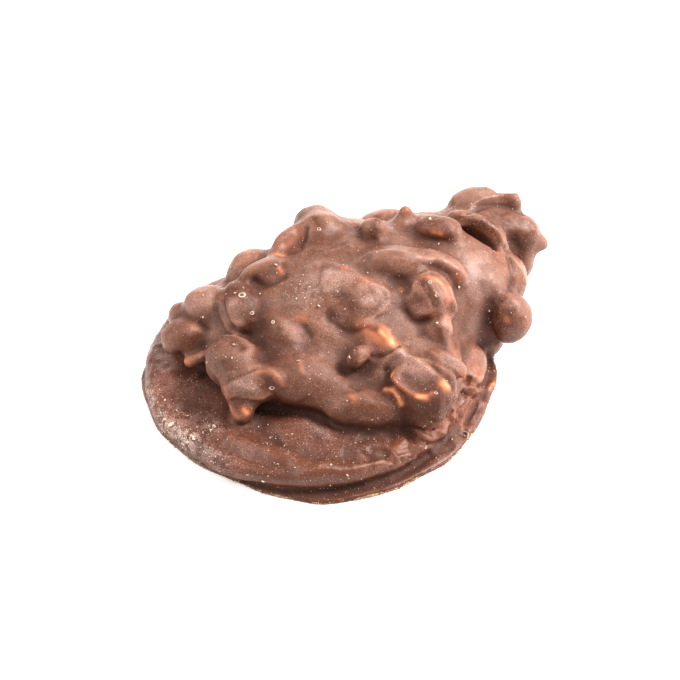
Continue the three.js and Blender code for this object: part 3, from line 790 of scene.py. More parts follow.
    "patch_line": (((312, 414), (320, 418), (327, 424)), 0.35, 0.2, 0, 0.1),
    "patch_low_line": (((304, 431), (316, 434), (328, 436)), 0.35, 0.2, 0, 0.1),
    "chip": (((181, 409), (194, 410)), 0.7, -0.35, 0.8),
    "chip_edge": (((180, 413), (193, 413)), 0.3, 0.15, 0, 0.3),
    "left_swell": (((160, 372), (178, 380), (200, 384)), 2.2, 0.4),
    "left_dip": (((165, 395), (190, 400), (210, 408)), 2.2, -0.4),
    "low_swell": (((225, 462), (250, 470), (275, 474)), 1.6, 0.4),
    "groove": (
        ((243, 482), (268, 488), (293, 491), (320, 491), (345, 489), (381, 480), (408, 470), (430, 454)),
        0.7, -0.7, 0.9,
    ),
    # painted shade on the low front slope of the puddle, which faces forward
    "puddle_low_worn": (((288, 462), (318, 468), (350, 471)), 2.2, 0, 0.6, 0.05),
    "front_low_worn": (((270, 462), (300, 468), (330, 467), (362, 460), (400, 447)), 1.6, 0, 0.9, 0.08),
    "right_warmth": (
        ((474, 345), (479, 365), (477, 385), (468, 402), (455, 415), (438, 428), (415, 440), (392, 452)),
        2.6, 0, 0, 0.3,
    ),
    "right_fold_a": (((422, 425), (433, 428), (444, 432)), 0.8, 0.5, 0, 0.05),
    "right_fold_b": (((415, 432), (424, 434), (432, 438)), 0.8, 0.5, 0, 0.1),
    "right_fold_c": (((383, 440), (390, 447), (398, 456)), 0.9, 0.5, 0, 0.05),
    "right_fold_d": (((405, 438), (413, 443), (422, 447)), 0.9, 0.4, 0, 0.1),
    "right_fold_hollow": (((404, 430), (414, 440), (425, 441), (440, 438)), 0.8, -0.4),
    "right_fold_low_hollow": (((376, 447), (386, 455), (399, 461)), 1.0, -0.35),
    "warm_bump": (((363, 456), (367, 458)), 0.8, 0.3, 0, 0.3),
    "puddle_edge": (((481, 389), (470, 403), (463, 418), (461, 429)), 0.4, 0.35, 0, 0.5),
    # painted shade along the foot, under the overhanging front edge of the puddle
    "foot_worn": (((245, 490), (285, 498), (335, 499), (385, 492), (415, 480)), 1.0, 0, 1.4),
    "foot_front_shade": (((325, 491), (352, 491), (382, 488)), 1.2, 0, 2),
    "foot_curl": (((490, 388), (493, 382), (497, 387), (495, 396), (489, 403)), 0.35, 0.35, 0, 0.85),
    "foot_ridge": (((480, 398), (474, 416), (468, 430)), 0.45, 0.25, 0, 0.1),
    "lit_patch": (((472, 352), (473, 362), (474, 374)), 1.4, 0.3),
    "lit_patch_edge": (((466, 374), (473, 379), (482, 376)), 0.4, 0.25, 0, 0.1),
    "bubble": (((464, 433), (465, 435)), 0.6, -0.6),
}
MARK_SHARPNESS = 1.5
Mark = namedtuple("Mark", "pixels width height rub glow", defaults=(0, 0, 0))

marks = [Mark(*row) for row in MARKS.values()]
print(len(marks), "marks")

# %% [markdown]
# The strokes all start from the same skin, so their order makes no difference: their heights are added
# up first, and every corner of the mesh is then moved once, along its own normal.

# %% Draw the marks
skin = surface_of(cluster)
places = places_of(cluster)
heights = np.zeros(len(places))
for mark in marks:
    if mark.height:
        line = trace(skin, mark.pixels)
        heights += mark.height * closeness(places, line, mark.width, MARK_SHARPNESS)
move_to(cluster, places + normals_of(cluster) * heights[:, None])
print("marks from", round(heights.min(), 2), "to", round(heights.max(), 2), "mm")

# %% [markdown]
# ## Lumps, crinkles and fine unevenness
#
# Between the marks the skin is never quite smooth. Two Displace modifiers with cloud textures give it
# lumps of two sizes. On the right of the puddle the chocolate was nearly set when it last moved, so it
# lies in small crinkles there: a third texture, held inside a vertex group, folds only that part.

# %% Roughen the skin
CRINKLED = (((372, 452), (398, 444), (425, 432), (450, 418), (468, 398), (474, 384)), 3.0)
PLAIN_LUMPS = {"lumps": ("CLOUDS", 2.6, 0.35), "small_lumps": ("CLOUDS", 0.9, 0.12)}
CRINKLES = ("DISTORTED_NOISE", 4.2, 1.3)
WEIGHT_STEPS = 10
HEAP_EDGE = 0.3
PUDDLE_FADE = 0.8
CALM_BASE = 0.1
BASE_FADE = 0.5


def relief(piece, name, kind, size, height, group=""):
    texture = bpy.data.textures.new(name, kind)
    texture.noise_scale = size * MM
    apply_modifier(
        piece, "DISPLACE", texture=texture, texture_coords="LOCAL", strength=height * MM, mid_level=0.5,
        vertex_group=group,
    )


def weigh(piece, name, weights):
    """Puts the corners of a piece in a vertex group, in a few steps of weight."""
    group = piece.vertex_groups.new(name=name)
    levels = np.round(weights * WEIGHT_STEPS).astype(int)
    for level in range(1, WEIGHT_STEPS + 1):
        group.add(np.flatnonzero(levels == level).tolist(), level / WEIGHT_STEPS, "REPLACE")


skin = surface_of(cluster)
places = places_of(cluster)
crinkled = closeness(places, trace(skin, CRINKLED[0]), CRINKLED[1])
from_heap = [heap_surface.find_nearest((Vector(place) + PUDDLE_CENTRE) * MM)[3] for place in places]
on_puddle = np.clip((np.array(from_heap) / MM - HEAP_EDGE) / PUDDLE_FADE, 0, 1)
above_base = np.clip(places[:, 2] - CALM_BASE, 0, BASE_FADE) / BASE_FADE
weigh(cluster, "crinkled", crinkled * on_puddle * above_base)
weigh(cluster, "above_base", above_base)
relief(cluster, "crinkles", *CRINKLES, group="crinkled")
for name, lump in PLAIN_LUMPS.items():
    relief(cluster, name, *lump, group="above_base")
print("crinkled corners:", int((crinkled > 0.1).sum()), "puddle corners:", int((on_puddle > 0.5).sum()))

# %% [markdown]
# ## What the material needs to know
#
# Some looks follow the shape: ridges are rubbed, nut shines through a thin coat, a pale sheen lies on
# the nuts that face the light, and dust lies on one rim. Noise can't know where those are, so each is
# worked out here as a number for every corner of the mesh and stored as an attribute. First come the
# patches that are painted from a list, each a stroke of pixels with a width and a strength.

# %% Name the dusty patches and the patches of painted sheen
DUST = {
    "left_corner": (((147, 388), (152, 402)), 1.6, 0.7),
    "left_patch": (((162, 425), (176, 432), (190, 441)), 2.2, 1.0),
    "left_rim": (((152, 405), (170, 440), (200, 462)), 1.6, 0.6),
    "below_the_patch": (((190, 441), (204, 450), (222, 462)), 1.8, 0.45),
    "by_the_chip": (((170, 408), (190, 416)), 1.8, 0.35),
    "by_the_wedge": (((208, 422), (214, 428)), 1.6, 0.5),
    "middle": (((300, 290), (316, 292), (330, 285)), 3.0, 0.3),
}
# The pale patches are painted sheen: highlights where the nuts and the puddle face the lamps.
PAINTED_SHEEN_PATCHES = {
    "wedge_top": (((238, 384), (248, 381), (258, 384)), 1.7, 0.9),
    "shoulder_nut": (((194, 306), (204, 305), (212, 310)), 1.6, 0.7),
    "bean_face": (((231, 300), (235, 315), (241, 328)), 1.4, 0.6),
    "broad_nut": (((315, 276), (328, 274), (341, 280)), 2.2, 0.6),
    "broad_nut_end": (((364, 303), (377, 297), (386, 302)), 1.3, 0.7),
    "crown": (((300, 214), (318, 207), (332, 212)), 1.8, 0.25),
    "crest_line": (((368, 255), (385, 251), (405, 254), (425, 259), (445, 262), (456, 268)), 0.7, 0.25),
    "fin_crest": (((466, 214), (482, 219), (496, 230)), 0.7, 0.5),
    "tail_top": (((466, 201), (480, 198), (496, 200)), 1.6, 0.4),
    "right_slope": (((468, 272), (480, 285), (487, 305), (480, 322)), 2.6, 0.8),
    "puddle_streak": (((150, 349), (163, 357), (176, 366)), 1.0, 0.6),
    "puddle_patch": (((309, 422), (318, 428), (327, 435)), 1.1, 0.6),
    "puddle_left": (((164, 384), (180, 389), (196, 391)), 2.4, 0.18),
    "block_back": (((398, 351), (412, 357), (432, 371), (445, 380)), 0.7, 0.8),
    "block_top": (((405, 366), (416, 372), (426, 380)), 2.0, 0.5),
}
print(len(DUST), "dusty patches and", len(PAINTED_SHEEN_PATCHES), "pale ones")

# %% [markdown]
# How sharply the skin bends is found by smoothing a copy of it: a corner that stood outside its smoothed
# self is on a ridge, and one that lay inside it is in a crease. A few steps of smoothing find the fine
# ridges and creases, and many steps find the tops of the nuts and the hollows between them.

# %% Measure how the skin bends
BEND_STEPS = 6
RIDGE_BEND = 0.12
HOLLOW_STEPS = 90
HOLLOW_BEND = 0.7


def smoothed(piece, places, steps):
    """The places after each corner has moved to the middle of its neighbours, a number of times."""
    start, end = read(piece.data.edges, "vertices", 2, np.int32).T
    count = np.bincount(np.concatenate([start, end]), minlength=len(places))
    for _ in range(steps):
        from_ends = [np.bincount(start, places[end, axis], len(places)) for axis in range(3)]
        from_starts = [np.bincount(end, places[start, axis], len(places)) for axis in range(3)]
        places = (np.stack(from_ends, axis=1) + np.stack(from_starts, axis=1)) / count[:, None]
    return places


def bend_of(piece, places, steps):
    """How far each corner stands outside the smoothed skin, in millimetres."""
    return np.einsum("ij,ij->i", places - smoothed(piece, places, steps), normals_of(piece))


places = places_of(cluster)
bend = bend_of(cluster, places, BEND_STEPS)
swell = bend_of(cluster, places, HOLLOW_STEPS)
print("bends", np.percentile(bend, [2, 98]).round(3), "mm")
print("hollows and tops", np.percentile(swell, [2, 98]).round(3), "mm")

# %% [markdown]
# Now every attribute is stored. The grain is stronger at the front, where the light grazes the skin, and
# the undersides are marked for painted shade, which keeps them dark. The foot of the puddle is
# crumbly at the front.

# %% Paint the attributes
RUB_SPREAD = 1.7
GLOW_SPREAD = 1.5
GLOW_SHARPNESS = 1.2
GRAIN_MIDDLE = 0.6
GRAIN_FADE = 45.0
GRAIN_LEAST = 0.15
# how strongly the sides and undersides take painted shade
UNDERSIDE_SHADE_LEVEL = 0.35
UNDERSIDE_SHADE_SLOPE = 2.0
FOOT_TOP = 0.8
FOOT_FADE = 0.5
FOOT_RADIUS = 29.4
FRONT = -1.4  # radians round the disc
FRONT_LEVEL = 0.3
FRONT_LEAST = 0.1


def paint(piece, name, values):
    attribute = piece.data.attributes.new(name, "FLOAT", "POINT")
    attribute.data.foreach_set("value", values.astype(np.float32))


def strongest(patches, sharpness=2.0):
    """For each corner, how much it lies in the strongest of some painted patches."""
    values = np.zeros(len(places))
    for pixels, width, strength in patches:
        if strength:
            values = np.maximum(values, strength * closeness(places, trace(skin, pixels), width, sharpness))
    return values


skin = surface_of(cluster)
dust = strongest(DUST.values())
rub_and_shade_patches = [(mark.pixels, mark.width * RUB_SPREAD, mark.rub) for mark in marks]
glow_and_light_patches = [(mark.pixels, mark.width * GLOW_SPREAD, mark.glow) for mark in marks]
painted = {"dust": dust, "pale": strongest(PAINTED_SHEEN_PATCHES.values()), "puddle": on_puddle}
painted |= {"rubbed": strongest(rub_and_shade_patches), "glow": strongest(glow_and_light_patches, GLOW_SHARPNESS)}

# The crease number paints shade in the creases; the ridge number marks wear and, with the bloom, painted
# light.
measured = {"ridge": bend / RIDGE_BEND, "crease": -bend / RIDGE_BEND}
# The hollow number paints shade between the nuts, and the top number paints light on their tops along with
# the bloom.
measured |= {"top": swell / HOLLOW_BEND, "hollow": -swell / HOLLOW_BEND}
# Painted shade on the sides and undersides: the further a face turns down, the darker it is painted.
measured["sheltered"] = UNDERSIDE_SHADE_LEVEL - UNDERSIDE_SHADE_SLOPE * normals_of(cluster)[:, 2]
painted |= {name: np.clip(values, 0, 1) for name, values in measured.items()}

x, y, z = places.T
painted["grainy"] = np.clip(GRAIN_MIDDLE - y / GRAIN_FADE, GRAIN_LEAST, 1)
front_side = np.clip(FRONT_LEVEL + np.cos(np.arctan2(y, x) - FRONT), FRONT_LEAST, 1)
low = np.clip((FOOT_TOP - z) / FOOT_FADE, 0, 1)
painted["foot"] = low * np.clip(np.hypot(x, y) - FOOT_RADIUS, 0, 1) * front_side

for name, values in painted.items():
    paint(cluster, name, values)
pick(cluster)
bpy.ops.object.shade_smooth()
print("attributes:", ", ".join(painted))

# %% [markdown]
# ## Writing shader maths
#
# A material is a graph of nodes, and a graph is hard to read as code. A small class wraps a socket, so
# that sums and products of values can be written as they are on paper. Every other node comes from one
# method, which takes the node's type, its settings, and the values or links of its sockets.

# %% Wrap a shader value
class Value:
    """One output of a node, or the node tree itself where there is no output yet."""

    def __init__(self, tree, socket=None):
        self.tree = tree
        self.socket = socket

    def node(self, kind, settings, inputs, output=0):
        made = self.tree.nodes.new(kind)
        for name, setting in settings.items():
            setattr(made, name, setting)
        for name, value in inputs.items():
            if isinstance(value, Value):
                self.tree.links.new(value.socket, made.inputs[name])
            else:
                made.inputs[name].default_value = value
        return Value(self.tree, made.outputs[output])

    def maths(self, operation, first, second):
        return self.node("ShaderNodeMath", {"operation": operation}, {0: first, 1: second})

    def __add__(self, other):
        return self.maths("ADD", self, other)

    def __sub__(self, other):
        return self.maths("SUBTRACT", self, other)

    def __rsub__(self, other):
        return self.maths("SUBTRACT", other, self)

    def __mul__(self, other):
        return self.maths("MULTIPLY", self, other)

    __radd__ = __add__
    __rmul__ = __mul__

    def clamped(self):
        return self.node("ShaderNodeMath", {"operation": "ADD", "use_clamp": True}, {0: self, 1: 0.0})

    def ramp(self, low, high):
        """0 below low, 1 above high and smooth between them."""
        settings = {"interpolation_type": "SMOOTHSTEP"}
        return self.node("ShaderNodeMapRange", settings, {"Value": self, "From Min": low, "From Max": high})

    def between(self, first, second):
        """The first colour where this value is 0, the second where it is 1, and a mix between."""
        return self.node("ShaderNodeMix", {"data_type": "RGBA"}, {0: self, 6: first, 7: second}, output=2)

    def towards(self, colour, amount):
        """This colour mixed towards another one."""
        return amount.between(self, colour)

    def shaded(self, factor):
        """This colour made darker or lighter by a number."""
        return self.node("ShaderNodeVectorMath", {"operation": "SCALE"}, {0: self, "Scale": factor})

    def place(self):
        """The place on the piece itself, so that a pattern stays with the piece."""
        return self.node("ShaderNodeTexCoord", {}, {}, output="Object")

    def attribute(self, name):
        return self.node("ShaderNodeAttribute", {"attribute_name": name}, {}, output="Fac")

    def noise(self, size, detail=2.0, seed=0.0):
        """Cloudy noise from about 0.3 to 0.7, whose lumps are about this many millimetres wide."""
        inputs = {"Vector": self, "W": seed, "Scale": 1 / (size * MM), "Detail": detail}
        return self.node("ShaderNodeTexNoise", {"noise_dimensions": "4D"}, inputs)

    def specks(self, spacing, seed=0.0):
        """The distance to the nearest of many scattered points, in parts of their spacing."""
        inputs = {"Vector": self, "W": seed, "Scale": 1 / (spacing * MM)}
        return self.node("ShaderNodeTexVoronoi", {"voronoi_dimensions": "4D"}, inputs)


def new_material(name):
    """A material with its Principled shader, and the value that starts its maths."""
    material = bpy.data.materials.new(name)
    material.use_nodes = True
    tree = material.node_tree
    return material, tree.nodes["Principled BSDF"], Value(tree)


def feed(shader, inputs):
    """Links values to sockets of the shader, or sets a socket to a constant."""
    for name, value in inputs.items():
        if isinstance(value, Value):
            shader.id_data.links.new(value.socket, shader.inputs[name])
        else:
            shader.inputs[name].default_value = value


# %% [markdown]
# ## Milk chocolate
#
# Handled milk chocolate is not glossy. Its skin has a fine grain, which noises of four sizes give, and
# it changes from place to place, which the attributes give. All of them are made once here, under their
# names, because several colours and the roughness read the same ones.

# %% Name the colours and the patterns
MOUND_PALE = (0.283, 0.130, 0.086, 1)
MOUND_DEEP = (0.185, 0.084, 0.053, 1)
PUDDLE_WARM = (0.21, 0.086, 0.057, 1)
PUDDLE_DEEP = (0.12, 0.050, 0.034, 1)
# fat bloom, together with a painted highlight on the tops and ridges
BLOOM_AND_HIGHLIGHT = (0.42, 0.225, 0.16, 1)
# painted sheen, a highlight where the nuts face the lamps
PAINTED_SHEEN_COLOUR = (0.43, 0.28, 0.24, 1)
# the deep brown of wear, also used as painted shade in creases, recesses and on walls that face down
RUB_AND_SHADE_BROWN = (0.12, 0.040, 0.018, 1)
# painted shade for the hollows between the nuts
PAINTED_SHADE_BROWN = (0.08, 0.03, 0.018, 1)
DUSTY_GREY = (0.42, 0.30, 0.25, 1)
GLOW_DEEP = (0.40, 0.145, 0.075, 1)
GLOW_BRIGHT = (0.78, 0.32, 0.15, 1)
# the palest step is a painted highlight
PAINTED_HIGHLIGHT = (1.0, 0.74, 0.42, 1)
CREAM = (0.75, 0.52, 0.36, 1)
PALE_GOLD = (0.55, 0.29, 0.15, 1)
NOISES = {  # size in millimetres, detail and seed
    "patches": (7.0, 3.0, 0.0),
    "mottle": (1.3, 3.0, 3.0),
    "grain": (0.25, 2.0, 5.0),
    "fine": (0.11, 1.0, 7.0),
}


def patterns(start):
    """All that varies over the skin: its noises and the painted attributes, by name."""
    look = SimpleNamespace(place=start.place())
    for name, noise in NOISES.items():
        setattr(look, name, look.place.noise(*noise))
    for name in painted:
        setattr(look, name, start.attribute(name))
    return look


print("patterns:", ", ".join([*NOISES, *painted]))

# %% [markdown]
# The brown comes in two kinds: the mound is paler, and the puddle darker, redder and smoother. A bloom
# of fat and a painted highlight make the tops and ridges of the mound paler still, and where a nut faces
# the light a painted sheen makes its skin pale.

# %% Mix the browns
def browns(look):
    blotch = (look.patches * 0.6 + look.mottle * 0.4).ramp(0.36, 0.64)
    puddle_brown = blotch.between(PUDDLE_DEEP, PUDDLE_WARM)
    colour = blotch.between(MOUND_DEEP, MOUND_PALE).towards(puddle_brown, look.puddle)
    # fat bloom and a painted highlight on the tops and ridges
    bloom_and_highlight = look.top * (0.15 + 0.35 * blotch) + look.ridge * 0.25
    # painted sheen on the pale patches
    painted_sheen = (look.pale * (0.35 + 0.7 * look.mottle)).clamped()
    return colour.towards(BLOOM_AND_HIGHLIGHT, bloom_and_highlight * (1 - 0.85 * look.puddle)).towards(PAINTED_SHEEN_COLOUR, painted_sheen)


# %% [markdown]
# Where a ridge rubbed against its neighbours in the bag, the bloom is gone and the brown is deep. The
# same deep brown is painted shade in the creases and recesses and on walls that face down. Dust makes it
# grey in spots. The grain then makes every colour lighter and darker, more so at the front, and painted
# shade darkens the hollows and the undersides.

# %% Wear the skin and paint its shade
BLOOM_SPOTS = 0.44


def handled(look, colour):
    """The colour after rubbing, painted shade, dust and grain, which also notes how much wear and shade it
    has.
    """
    rub = (look.grain * 0.6 + look.mottle * 0.4).ramp(0.42, 0.58)
    look.worn = (look.rubbed * (0.45 + 0.6 * rub)).clamped()
    # Ridges are darkened by wear, and creases by painted shade.
    worn_ridge = (look.ridge * look.mottle.ramp(0.46, 0.66) * 0.3 + look.crease * 0.6).clamped()
    colour = colour.towards(RUB_AND_SHADE_BROWN, worn_ridge).towards(RUB_AND_SHADE_BROWN, look.worn)
    dusty = (look.dust * (look.mottle + look.grain * 0.4).ramp(0.64, 0.76)).clamped()
    coarse = (look.grain - 0.5) * (0.7 + 1.2 * look.grainy)
    fine = (look.fine - 0.5) * (0.6 + 1.9 * look.grainy)
    colour = colour.towards(DUSTY_GREY, dusty).shaded(1.0 + coarse + fine)
    spots = (0.34 - look.place.specks(BLOOM_SPOTS, seed=9.0)).ramp(0.0, 0.16)
    colour = colour.towards(DUSTY_GREY, (spots * (0.2 + 0.5 * look.mottle.ramp(0.4, 0.6))).clamped())
    # painted shade: the hollows and the undersides are darkened
    return colour.towards(PAINTED_SHADE_BROWN, look.hollow * 0.75).towards(RUB_AND_SHADE_BROWN, look.sheltered * 0.5)


# %% [markdown]
# Under a thin coat the pale nut shows as orange, because light goes in, comes back off the nut, and
# loses its blue on the way. The thinner the coat, the brighter the nut shows, from a deep orange to a
# nearly white painted highlight at the brightest spots. On the folds of the puddle the same colours are
# painted light. The broken foot and tiny cream specks lie on top of everything.

# %% Let the nuts glow through, and paint highlights and light
SPECK_SPACING = 0.85


def glowing(look, colour):
    """The colour with glowing nut, painted highlights, painted light on the folds, broken foot and specks,
    which also notes where the last two lie.
    """
    glow = look.glow * (0.8 + 0.4 * look.mottle)
    colour = colour.towards(GLOW_DEEP, glow.ramp(0.1, 0.6) * 0.9)
    colour = colour.towards(GLOW_BRIGHT, glow.ramp(0.4, 0.9)).towards(PAINTED_HIGHLIGHT, glow.ramp(0.85, 1.25))
    look.crumbly = (look.foot * (look.mottle * 0.6 + look.grain * 0.6).ramp(0.63, 0.75)).clamped()
    speck_size = 0.05 + look.dust * 0.06 + look.puddle * 0.025
    look.speckled = (speck_size - look.place.specks(SPECK_SPACING, seed=2.0)).ramp(0.0, 0.03)
    return colour.towards(PALE_GOLD, look.crumbly).towards(CREAM, look.speckled)


# %% [markdown]
# The roughness and the bump read the same patterns: worn and dusty skin is rougher, the puddle and the
# sheen are smoother, and the grain stands up a few hundredths of a millimetre. A little subsurface light
# softens it all, as fat and milk do.

# %% Make the chocolate
CHOCOLATE_SOCKETS = {
    "IOR": 1.46,
    "Subsurface Weight": 0.09,
    "Subsurface Radius": (1.0, 0.45, 0.25),
    "Subsurface Scale": 1.2 * MM,
}


def roughness_of(look):
    smooth = 0.36 - 0.04 * look.puddle + 0.1 * look.worn - 0.05 * look.pale
    dull = smooth + 0.12 * look.dust + 0.2 * look.foot + 0.3 * look.hollow
    return (dull + (look.grain - 0.5) * 0.3 + (look.mottle - 0.5) * 0.2).clamped()


def bump_of(look):
    grain = look.grain * (0.035 + 0.055 * look.grainy) + look.fine * (0.02 + 0.05 * look.grainy)
    height = grain * (1 - 0.5 * look.puddle) + look.mottle * 0.075
    height = height + look.speckled * 0.02 + look.crumbly * 0.05
    return height.node("ShaderNodeBump", {}, {"Strength": 1.0, "Distance": MM, "Height": height})


def milk_chocolate():
    material, shader, start = new_material("milk_chocolate")
    look = patterns(start)
    colour = glowing(look, handled(look, browns(look)))
    feed(shader, {"Base Color": colour, "Roughness": roughness_of(look), "Normal": bump_of(look)})
    feed(shader, CHOCOLATE_SOCKETS)
    return material


cluster.data.materials.clear()
cluster.data.materials.append(milk_chocolate())
print("milk chocolate:", len(cluster.data.materials[0].node_tree.nodes), "nodes")

# %% [markdown]
# ## Crumbs
#
# Pale crumbs of nut and dried milk cling all over the candy, thickest on the left rim. They stand out as
# tiny bright flecks, so they are real pieces here and not paint. One crumb is modelled first, and then
# each crumb is a copy of it with its own size, turn and place, all joined in one mesh.

# %% Model one crumb
CRUMB_SEED = 5
CRUMB_RAGGED = 0.16


def make_ragged(piece, offset):
    """Moves every corner of a piece a little, each its own way."""
    with editing(piece):
        bpy.ops.transform.vertex_random(offset=offset, seed=CRUMB_SEED)


def one_crumb():
    """A broken ball of 20 faces, one unit wide."""
    bpy.ops.object.select_all(action="DESELECT")
    bpy.ops.mesh.primitive_ico_sphere_add(subdivisions=1, radius=0.5)
    crumb = bpy.context.active_object
    make_ragged(crumb, CRUMB_RAGGED)
    corners = np.array([corner.co for corner in crumb.data.vertices])
    faces = np.array([face.vertices for face in crumb.data.polygons])
    bpy.data.objects.remove(crumb)
    return corners, faces


CRUMB_CORNERS, CRUMB_FACES = one_crumb()
print("one crumb:", len(CRUMB_FACES), "faces")

# %% [markdown]
# A crumb is put on a face of the skin, lifted a little so that it lies half sunk, and turned at random.
# One near the foot is lifted on to the table, because nothing may lie below it. All the random numbers
# come from one seeded source, so the crumbs fall in the same places every time.

# %% Put crumbs on faces
CRUMB_LIFT = 0.12
chance = np.random.default_rng(CRUMB_SEED)


def faces_on(piece):
    """The middle, the direction and the area of each face of a piece, in millimetres."""
    faces = piece.data.polygons
    middles = read(faces, "center", 3) / MM - CENTRE
    return middles, read(faces, "normal", 3), read(faces, "area")[:, 0] / MM ** 2


def choose(likely, count):
    """As many faces as asked for, each as often as it is likely."""
    return chance.choice(len(likely), count, p=likely / likely.sum())


def turned(corners, count):
    """Copies of a crumb's corners, each turned its own way."""
    axes = np.linalg.qr(chance.normal(size=(count, 3, 3)))[0]
    axes *= np.sign(np.linalg.det(axes))[:, None, None]
    return np.einsum("nij,kj->nki", axes, corners)


def scattered(name, middles, directions, sizes, stretch):
    """One mesh of crumbs that lie half sunk at the given places."""
    count = len(middles)
    corners = turned(CRUMB_CORNERS * np.array(stretch), count) * sizes[:, None, None]
    corners += (middles + directions * sizes[:, None] * CRUMB_LIFT + CENTRE)[:, None]
    corners[:, :, 2] -= np.minimum(corners[:, :, 2].min(axis=1), 0)[:, None]
    faces = CRUMB_FACES[None] + np.arange(count)[:, None, None] * len(CRUMB_CORNERS)
    mesh = bpy.data.meshes.new(name)
    mesh.from_pydata((corners.reshape(-1, 3) * MM).tolist(), [], faces.reshape(-1, 3).tolist())
    crumbs = bpy.data.objects.new(name, mesh)
    bpy.context.scene.collection.objects.link(crumbs)
    return crumbs


middles, directions, areas = faces_on(cluster)
print("faces:", len(middles), "with", round(areas.sum()), "square mm in all")

# %% [markdown]
# Small crumbs fall by chance, but not evenly: more on the puddle, most in the dust, and in loose clumps
# elsewhere. Undersides get none. Most are tiny and a few are large. The largest ones of the photograph
# each stand out, so those are placed one by one: the numbers are a pixel and a size in millimetres.

# %% Scatter the cream crumbs
CREAM_CRUMBS = 3200
LARGE_CRUMBS = {
    "left_rim": (
        (171, 425, 1.3), (194, 439, 0.7), (203, 433, 0.55),
        (164, 420, 0.8), (165, 400, 0.5), (155, 375, 0.5),
    ),
    "left_front": ((214, 427, 0.86), (197, 427, 0.43), (278, 464, 0.43), (263, 481, 0.65), (288, 452, 0.36)),
    "front": ((331, 465, 0.43), (347, 475, 0.65), (356, 443, 0.29), (369, 429, 0.32)),
    "round_nut": ((232, 358, 0.58), (234, 345, 0.58), (253, 389, 0.43)),
    "left_nuts": ((203, 317, 0.43), (203, 295, 0.36), (276, 265, 0.65), (235, 293, 0.5), (243, 288, 0.43)),
    "middle": (
        (300, 284, 0.32), (319, 306, 0.72), (296, 349, 0.36),
        (298, 361, 0.58), (345, 309, 0.36), (328, 291, 0.29),
    ),
    "cone": ((350, 357, 0.5), (415, 359, 0.29), (355, 283, 0.36)),
    "far_edge": ((395, 225, 0.36), (430, 219, 0.65), (459, 287, 0.58)),
    "right_end": ((489, 311, 0.5), (525, 317, 0.5), (437, 323, 0.5)),
}
CRUMB_SHAPE = (1.2, 0.9, 0.5)
CRUMB_LEAST = 0.09
CRUMB_USUAL = 0.11
CRUMB_RARE = 0.22
IN_DUST_LARGER = 0.7
CLUMP_WAVES = np.array([(0.9, 0.4, 0.5), (-0.5, 0.8, 0.3)])
CLUMP_START = 2
ANYWHERE, IN_CLUMPS, ON_PUDDLE, IN_DUST = 0.12, 0.22, 0.4, 2.2
STEEPEST = -0.2
LARGEST_FACE = 1.0  # square millimetres, far less than the one face of the underside

first_corners = np.array([face.vertices[0] for face in cluster.data.polygons])
face_dust = dust[first_corners]
clumps = np.sin(middles @ CLUMP_WAVES[0]) * np.sin(middles @ CLUMP_WAVES[1] + CLUMP_START)
weight = ANYWHERE + IN_CLUMPS * np.clip(clumps, 0, 1) + ON_PUDDLE * on_puddle[first_corners]
likely = areas * (weight + IN_DUST * face_dust) * (directions[:, 2] > STEEPEST)
chosen = choose(np.where(areas < LARGEST_FACE, likely, 0), CREAM_CRUMBS)
sizes = CRUMB_LEAST + CRUMB_USUAL * chance.random(CREAM_CRUMBS) ** 2
sizes = sizes + CRUMB_RARE * chance.random(CREAM_CRUMBS) ** 9
sizes *= 1 + IN_DUST_LARGER * face_dust[chosen]

large = [crumb for crumbs in LARGE_CRUMBS.values() for crumb in crumbs]
seen = [seen_at(skin, crumb[:2]) for crumb in large]
large_middles = np.array([place for place, _ in seen]) / MM - CENTRE
cream_crumbs = scattered(
    "cream_crumbs",
    np.concatenate([middles[chosen], large_middles]),
    np.concatenate([directions[chosen], np.array([direction for _, direction in seen])]),
    np.concatenate([sizes, np.array([crumb[2] for crumb in large])]),
    CRUMB_SHAPE,
)
print("cream crumbs:", CREAM_CRUMBS, "small and", len(large), "large")

# %% [markdown]
# Along the bottom of the puddle the chocolate broke off its tray in thin pale shavings. They lie in
# bunches round the front of the foot, within half a millimetre of the table.

# %% Scatter the rim flakes
RIM_FLAKES = 800
FLAKE_SHAPE = (2.0, 0.8, 0.4)
FLAKE_LEAST = 0.12
FLAKE_USUAL = 0.28
FLAKE_LOW, FLAKE_HIGH = 0.05, 0.45
FLAKE_RADIUS = 29.0
FLAKE_FRONT = -1.3
PAST_THE_SIDES = 0.05
FLAKE_ANYWHERE = 0.05
FLAKE_BUNCHES = ((1, 9, 0), (1, 23, 0))
BUNCH_LEVEL = 0.9

x, y, z = middles.T
around = np.arctan2(y, x)
front = np.clip(np.cos(around - FLAKE_FRONT) + PAST_THE_SIDES, 0, 1) ** 2
on_foot = (z < FLAKE_HIGH) & (z > FLAKE_LOW) & (np.hypot(x, y) > FLAKE_RADIUS) & (areas < LARGEST_FACE)
bunches = (waves(around, FLAKE_BUNCHES) + BUNCH_LEVEL).clip(0, 3)
chosen = choose(areas * on_foot * (FLAKE_ANYWHERE + front * bunches), RIM_FLAKES)
sizes = FLAKE_LEAST + FLAKE_USUAL * chance.random(RIM_FLAKES) ** 2
rim_flakes = scattered("rim_flakes", middles[chosen], directions[chosen], sizes, FLAKE_SHAPE)
print("rim flakes:", RIM_FLAKES, "from", sizes.min().round(2), "to", sizes.max().round(2), "mm")

# %% [markdown]
# ## Burst bubbles
#
# Where a bubble of air burst as the chocolate set, it left a pale ring with a dark middle. Each one is a
# torus, set flat on the skin at the pixel where the photograph shows it and pulled out of round.

